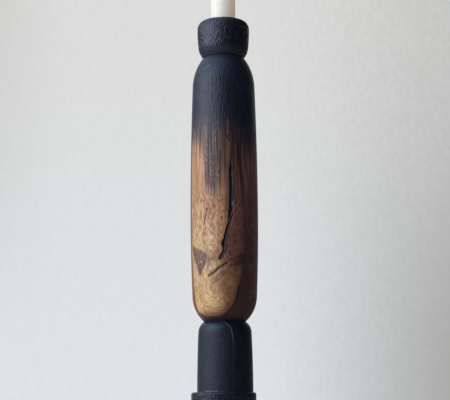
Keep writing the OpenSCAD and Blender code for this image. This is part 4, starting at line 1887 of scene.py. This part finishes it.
@dataclass
class Cup(Assembly):
    """The charred cup with its brass liner and the screw that holds the liner down."""

    cup_d: float = 46.3
    rim_round: float = 7.5
    shoulder_d: float = 44.8
    shoulder_h: float = 10.2
    groove_d: float = 36.2
    cup_char: Charring = Charring(1.4, 3.4, 0.28)
    cup_char_edge: Point = (0.1, 1.2)
    cup_char_rise: float = 1.0
    dowel_bore_d: float = 16.2
    dowel_bore_h: float = 8.0
    pilot_d: float = 2.9
    socket_d: float = 24.4
    liner_play: float = 0.1
    liner_bore_d: float = 22.6
    liner_floor: float = 1.6
    liner_fillet: float = 0.6
    liner_columns: int = 128
    lip: float = 0.3
    lip_row: float = 0.1
    head_d: float = 5.4
    head_edge: float = 0.1
    shank_d: float = 2.8
    core_inset: float = 0.5
    neck_l: float = 1.0
    point_l: float = 2.5
    screw_pitch: float = 1.1
    screw_columns: int = 64
    slot_w: float = 0.8
    slot_h: float = 0.7
    slot_taper: float = 0.72
    row: float = 0.5
    columns: int = 320

    def build(self) -> None:
        """Makes and dresses the cup, its liner and the screw."""
        brass = BRASS.material()
        self.dress(self.cup(), CHARRED_CUP.material())
        self.dress(self.liner(), brass)
        self.dress(self.liner_screw(), brass)

    def cup(self) -> Object:
        """Turns the cup with its socket and dowel hole, and chars it.

        Returns:
            The cup.
        """
        low, high = node_span("cup")
        tall = high - low
        floor = node_span("socket_liner")[0] - low
        edge = (self.cup_d / 2, tall - self.rim_round)
        lower = ((self.shoulder_d / 2, self.shoulder_h), (self.groove_d / 2, 0.0))
        ledge = (edge[0] - self.rim_round, tall)
        bore, pilot, socket = self.dowel_bore_d / 2, self.pilot_d / 2, self.socket_d / 2
        outline = [(pilot, self.dowel_bore_h), (bore, self.dowel_bore_h), (bore, 0.0)]
        outline += swing(edge, DOWN, *lower, row=self.row)[::-1] + [edge]
        outline += swing(edge, UP, ledge, row=self.row)
        outline += rows_between(ledge, (socket, tall), self.row) + [(socket, floor), (pilot, floor)]
        mesh = turned(outline, self.columns, low, closed=True)
        piece = self.add("cup_charred", mesh, "cup", Slot.CHARRED, sharp=Edge.CHARRED)
        skin = Skin(piece.data)
        outer = smooth_step(skin.radii - socket, *self.cup_char_edge)
        self.cup_char.apply(skin, outer * smooth_step(skin.heights, low, low + self.cup_char_rise))
        return piece

    def liner(self) -> Object:
        """Spins the brass liner, with a rounded lip and a countersunk hole.

        Returns:
            The liner.
        """
        low, high = node_span("socket_liner")
        floor, brim = low + self.liner_floor, high - self.lip
        outer, inner = self.socket_d / 2 - self.liner_play, self.liner_bore_d / 2
        pilot, head, fillet = self.pilot_d / 2, self.head_d / 2, self.liner_fillet
        outline = [(pilot, low), (outer - self.lip, low), (outer, low + self.lip), (outer, brim)]
        outline += swing((outer, brim), UP, ((outer + inner) / 2, high), (inner, brim), row=self.lip_row)
        outline += [(inner, floor + fillet), (inner - fillet, floor), (head, floor)]
        outline += [(pilot, floor - head + pilot)]
        mesh = turned(outline, self.liner_columns, closed=True)
        return self.add("socket_liner_brass", mesh, "socket_liner", Slot.BRASS)

    def liner_screw(self) -> Object:
        """Cuts the countersunk liner screw, with a slot in its head and a thread.

        Returns:
            The screw.
        """
        tip, top = node_span("liner_screw")
        head, shank = self.head_d / 2, self.shank_d / 2
        core = shank - self.core_inset
        neck = top - (head - shank)
        point, run_out = tip + self.point_l, neck - self.neck_l
        outline = [
            (0.0, tip), (core, point), (core, run_out), (shank, neck), (head, top - self.head_edge),
            (head, top), (0.0, top),
        ]
        mesh = turned(outline, self.screw_columns)
        half = self.slot_w / 2 * MM
        for side in (-half, half):
            geom = [*mesh.verts, *mesh.edges, *mesh.faces]
            bmesh.ops.bisect_plane(mesh, geom=geom, plane_co=(0.0, side, 0.0), plane_no=(0.0, 1.0, 0.0))
        middles = [(face, face.calc_center_median()) for face in mesh.faces if face.normal.z > 0.9]
        slot = [face for face, middle in middles if abs(middle.y) < half and middle.z > (top - 0.2) * MM]
        sunk = bmesh.ops.extrude_face_region(mesh, geom=slot)
        bmesh.ops.delete(mesh, geom=slot, context="FACES")
        verts = [item for item in sunk["geom"] if isinstance(item, BMVert)]
        bmesh.ops.translate(mesh, verts=verts, vec=(0.0, 0.0, -self.slot_h * MM))
        bmesh.ops.scale(mesh, verts=verts, vec=(self.slot_taper, 1.0, 1.0))
        threaded(mesh, point, run_out, core, shank, self.screw_pitch)
        return self.add("liner_screw_brass", mesh, "liner_screw", Slot.BRASS, sharp=Edge.SCREW)


@dataclass
class Candle(Assembly):
    """The dinner candle and its wick, which lift out together."""

    candle_d: float = 22.0
    tip_l: float = 20.0
    tip_d: float = 6.0
    tip_round: float = 0.4
    foot_round: float = 0.8
    foot_row: float = 0.3
    dimple: float = 0.9
    dimple_bend: Point = (0.2, 0.3)
    dip_from: float = 0.3
    dip_depth: float = 0.06
    dip_grain: Place = (14.0, 14.0, 40.0)
    wick_d: float = 2.2
    wick_strands_across: float = 4.2
    wick_sides: int = 8
    strands: int = 3
    twist_doublings: int = 6
    twist_steps: int = 14
    row: float = 1.5
    columns: int = 128

    def build(self) -> None:
        """Makes and dresses the candle and its wick."""
        self.dress(self.candle(), WAX.material())
        self.dress(self.wick(), COTTON.material())

    def candle(self) -> Object:
        """Moulds the candle, with a drawn tip and slightly uneven sides.

        Returns:
            The candle.
        """
        low, high = node_span("candle")
        radius, wick = self.candle_d / 2, self.wick_d / 2
        under = (radius - self.foot_round, low)
        foot = (radius, low + self.foot_round)
        shoulder = (radius, high - self.tip_l)
        outline = [(wick, low), under] + swing(under, LEVEL, foot, row=self.foot_row)
        outline += rows_between(foot, shoulder, self.row)
        outline += swing(shoulder, UP, (self.tip_d / 2, high - self.tip_round), row=self.row / 2)
        bend = (wick + self.dimple_bend[0], high - self.dimple_bend[1])
        outline += [(wick + self.dimple, high), bend, (wick, high - self.dimple)]
        mesh = turned(outline, self.columns, closed=True)
        piece = self.add("candle_wax", mesh, "candle", Slot.WAX, Rider.CANDLE)
        skin = Skin(piece.data)
        outer = (skin.radii > wick + self.dip_from) & (skin.heights > low + self.foot_round)
        skin.push_radially(-self.dip_depth * outer * (1.0 + skin.uneven(*self.dip_grain)))
        return piece

    def wick(self) -> Object:
        """Twists the wick from strands, straight through the candle and out of its tip.

        Returns:
            The wick.
        """
        low, high = node_span("candle_wick")
        mesh = bmesh.new()
        strand = self.wick_d / self.wick_strands_across
        pitch = (high - low - 2 * strand) / 2 ** self.twist_doublings
        upright = Matrix.Rotation(math.pi / 2, 4, "X")
        place = Matrix.Translation((strand * MM, 0.0, (low + strand) * MM)) @ upright
        for number in range(self.strands):
            turn = Matrix.Rotation(math.tau * number / self.strands, 4, "Z")
            ring = bmesh.ops.create_circle(
                mesh, segments=self.wick_sides, radius=strand * MM, matrix=turn @ place
            )["verts"]
            edges = {edge for vert in ring for edge in vert.link_edges}
            spun(mesh, [*ring, *edges], math.tau, self.twist_steps, rise=pitch / self.twist_steps)
        for doubling in range(self.twist_doublings):
            doubled(mesh, Matrix.Translation((0.0, 0.0, pitch * 2 ** doubling * MM)))
        bmesh.ops.remove_doubles(mesh, verts=mesh.verts, dist=MERGE_DISTANCE)
        bmesh.ops.holes_fill(mesh, edges=[edge for edge in mesh.edges if edge.is_boundary])
        bmesh.ops.recalc_face_normals(mesh, faces=mesh.faces)
        return self.add("candle_wick_cotton", mesh, "candle_wick", Slot.WICK, Rider.CANDLE, Edge.COTTON)


@dataclass
class Studio:
    """Camera, light, floor and backdrop."""

    picture_width: float = 450.0
    focal_pixels: float = 1400.0
    sensor: float = 36.0
    pitch: float = 8.6
    roll: float = -0.33
    distance: float = 1227.0
    camera_x: float = 0.7
    camera_below_seam: float = 16.8
    wall: Colour = (0.725, 0.725, 0.72)
    wall_below: Colour = (0.745, 0.775, 0.805)
    # painted shade: the wall's colour where the light falls off towards the right
    wall_shade: Colour = (0.36, 0.36, 0.345)
    right_shade_share: float = 0.42
    wall_left_share: float = 0.3
    plaster_share: float = 0.05
    plaster_right_share: float = 0.09
    ambient: Colour = (0.17, 0.16, 0.14)
    fill: Colour = (0.45, 0.45, 0.45)
    fill_from: Place = (-0.45, -0.89, 0.1)
    warm: Colour = (0.5, 0.42, 0.31)
    dim: Colour = (0.015, 0.021, 0.04)
    ceiling: Colour = (1.05, 1.34, 1.8)
    glow: Colour = (0.38, 0.43, 0.51)
    floor_size: float = 2.3
    floor_sides: int = 96
    floor_bounce: Colour = (0.55, 0.54, 0.52)
    floor_shade: Point = (-200.0, 300.0)
    floor_roughness: float = 0.8
    floor_shine: float = 0.2
    window_place: Place = (-1.5, -0.62, 0.75)
    window_size: Point = (2.2, 1.7)
    window_power: float = 30.0
    window_light: Colour = (0.96, 0.985, 1.05)
    aim: Place = (0.0, 0.0, 0.25)

    def build(self) -> None:
        """Sets up the whole studio."""
        self.camera()
        self.window()
        self.floor()
        self.room()
        bpy.context.scene.view_settings.view_transform = "Standard"

    def camera(self) -> None:
        """Places the camera low in front of the candlestick, looking slightly up."""
        data = bpy.data.cameras.new("camera")
        data.sensor_width = self.sensor
        data.lens = self.focal_pixels * self.sensor / self.picture_width
        camera = bpy.data.objects.new("camera", data)
        seam = node_span("collar")[1]
        place = Vector((self.camera_x, -self.distance, seam - self.camera_below_seam)) * MM
        tilt = Matrix.Rotation(math.radians(90.0 + self.pitch), 4, "X")
        roll = Matrix.Rotation(math.radians(self.roll), 4, "Z")
        camera.matrix_world = Matrix.Translation(place) @ (tilt @ roll)
        bpy.context.scene.collection.objects.link(camera)
        bpy.context.scene.camera = camera

    def window(self) -> None:
        """Hangs one large soft lamp on the left, like a window."""
        data = bpy.data.lights.new("window", "AREA")
        data.shape = "RECTANGLE"
        data.size, data.size_y = self.window_size
        data.energy = self.window_power
        data.color = self.window_light
        lamp = bpy.data.objects.new("window", data)
        view = Vector(self.aim) - Vector(self.window_place)
        turn = view.to_track_quat("-Z", "Y").to_matrix().to_4x4()
        lamp.matrix_world = Matrix.Translation(self.window_place) @ turn
        bpy.context.scene.collection.objects.link(lamp)

    def floor(self) -> None:
        """Lays the plain pale floor, round so that its edge is a level line from every side."""
        mesh = bmesh.new()
        bmesh.ops.create_circle(mesh, cap_ends=True, segments=self.floor_sides, radius=self.floor_size / 2)
        data = bpy.data.meshes.new("floor")
        mesh.to_mesh(data)
        mesh.free()
        floor = bpy.data.objects.new("floor", data)
        bpy.context.scene.collection.objects.link(floor)
        shader = Shader("pale_floor", roughness=self.floor_roughness, specular_ior_level=self.floor_shine)
        mirror = shader.mirrored()
        pale = shader.mix(shader.noise(Grain.FLOOR_CLOUDS), self.wall, self.wall_below)
        # painted shade: in reflections the floor darkens towards the right, like the wall
        pale = shader.mix(mirror * shader.x.step(*self.floor_shade), pale, self.wall_shade)
        shader.set("Base Color", shader.mix(shader.seen().largest(mirror), self.floor_bounce, pale))
        data.materials.append(shader.material)

    def room(self) -> None:
        """Surrounds the candlestick with a dim room, and a pale wall where that is seen."""
        world = bpy.data.worlds.new("room")
        world.use_nodes = True
        bpy.context.scene.world = world
        graph = Graph(world.node_tree)
        graph.place = graph.node("ShaderNodeTexCoord", {}, {}).outputs["Generated"]
        right, back, up = graph.axes()
        below = up.step(0.29, 0.0)
        shade = self.right_shade_share + below * (1.0 - self.right_shade_share)
        speckle = self.plaster_share + right.step(0.0, 0.15) * self.plaster_right_share
        wall = graph.mix(below, self.wall, self.wall_below)
        # painted shade: the wall darkens towards the right, where the light falls off; it darkens a little at
        # the far left too, and the plaster is speckled with the same colour
        for share in (
            right.step(0.008, 0.2) * shade,
            right.step(-0.1, -0.19) * (1.0 - below) * self.wall_left_share,
            graph.noise(Grain.PLASTER).step(0.3, 0.7) * speckle,
        ):
            wall = graph.mix(share, wall, self.wall_shade)
        beside = right.step(-0.5, -0.9) * back.step(0.75, 0.35) * up.step(-0.2, 0.15)
        dim = graph.mix(up.step(0.2, 0.8) * right.step(0.3, -0.5), self.dim, self.ceiling)
        dim = graph.mix(beside, dim, self.glow)
        front = right * self.fill_from[0] + back * self.fill_from[1] + up * self.fill_from[2]
        soft = graph.mix(right.step(0.0, 0.8), self.ambient, self.warm)
        soft = graph.mix(front.step(0.2, 1.0), soft, self.fill)
        mirror = graph.mirrored()
        behind = graph.seen().largest(mirror * back.step(0.62, 0.95))
        colour = graph.mix(behind, graph.mix(mirror, soft, dim), wall)
        graph.tree.links.new(colour, graph.tree.nodes["Background"].inputs["Color"])


def main() -> None:
    """Builds the studio and every sub-assembly in order."""
    logging.basicConfig(level=logging.INFO, format="%(name)s: %(message)s")
    noise.seed_set(NOISE_SEED)
    for part in (Studio(), Base(), Column(), Body(), Dowels(), Cup(), Candle()):
        LOG.info("building %s", type(part).__name__)
        part.build()


if __name__ == "__main__":
    main()
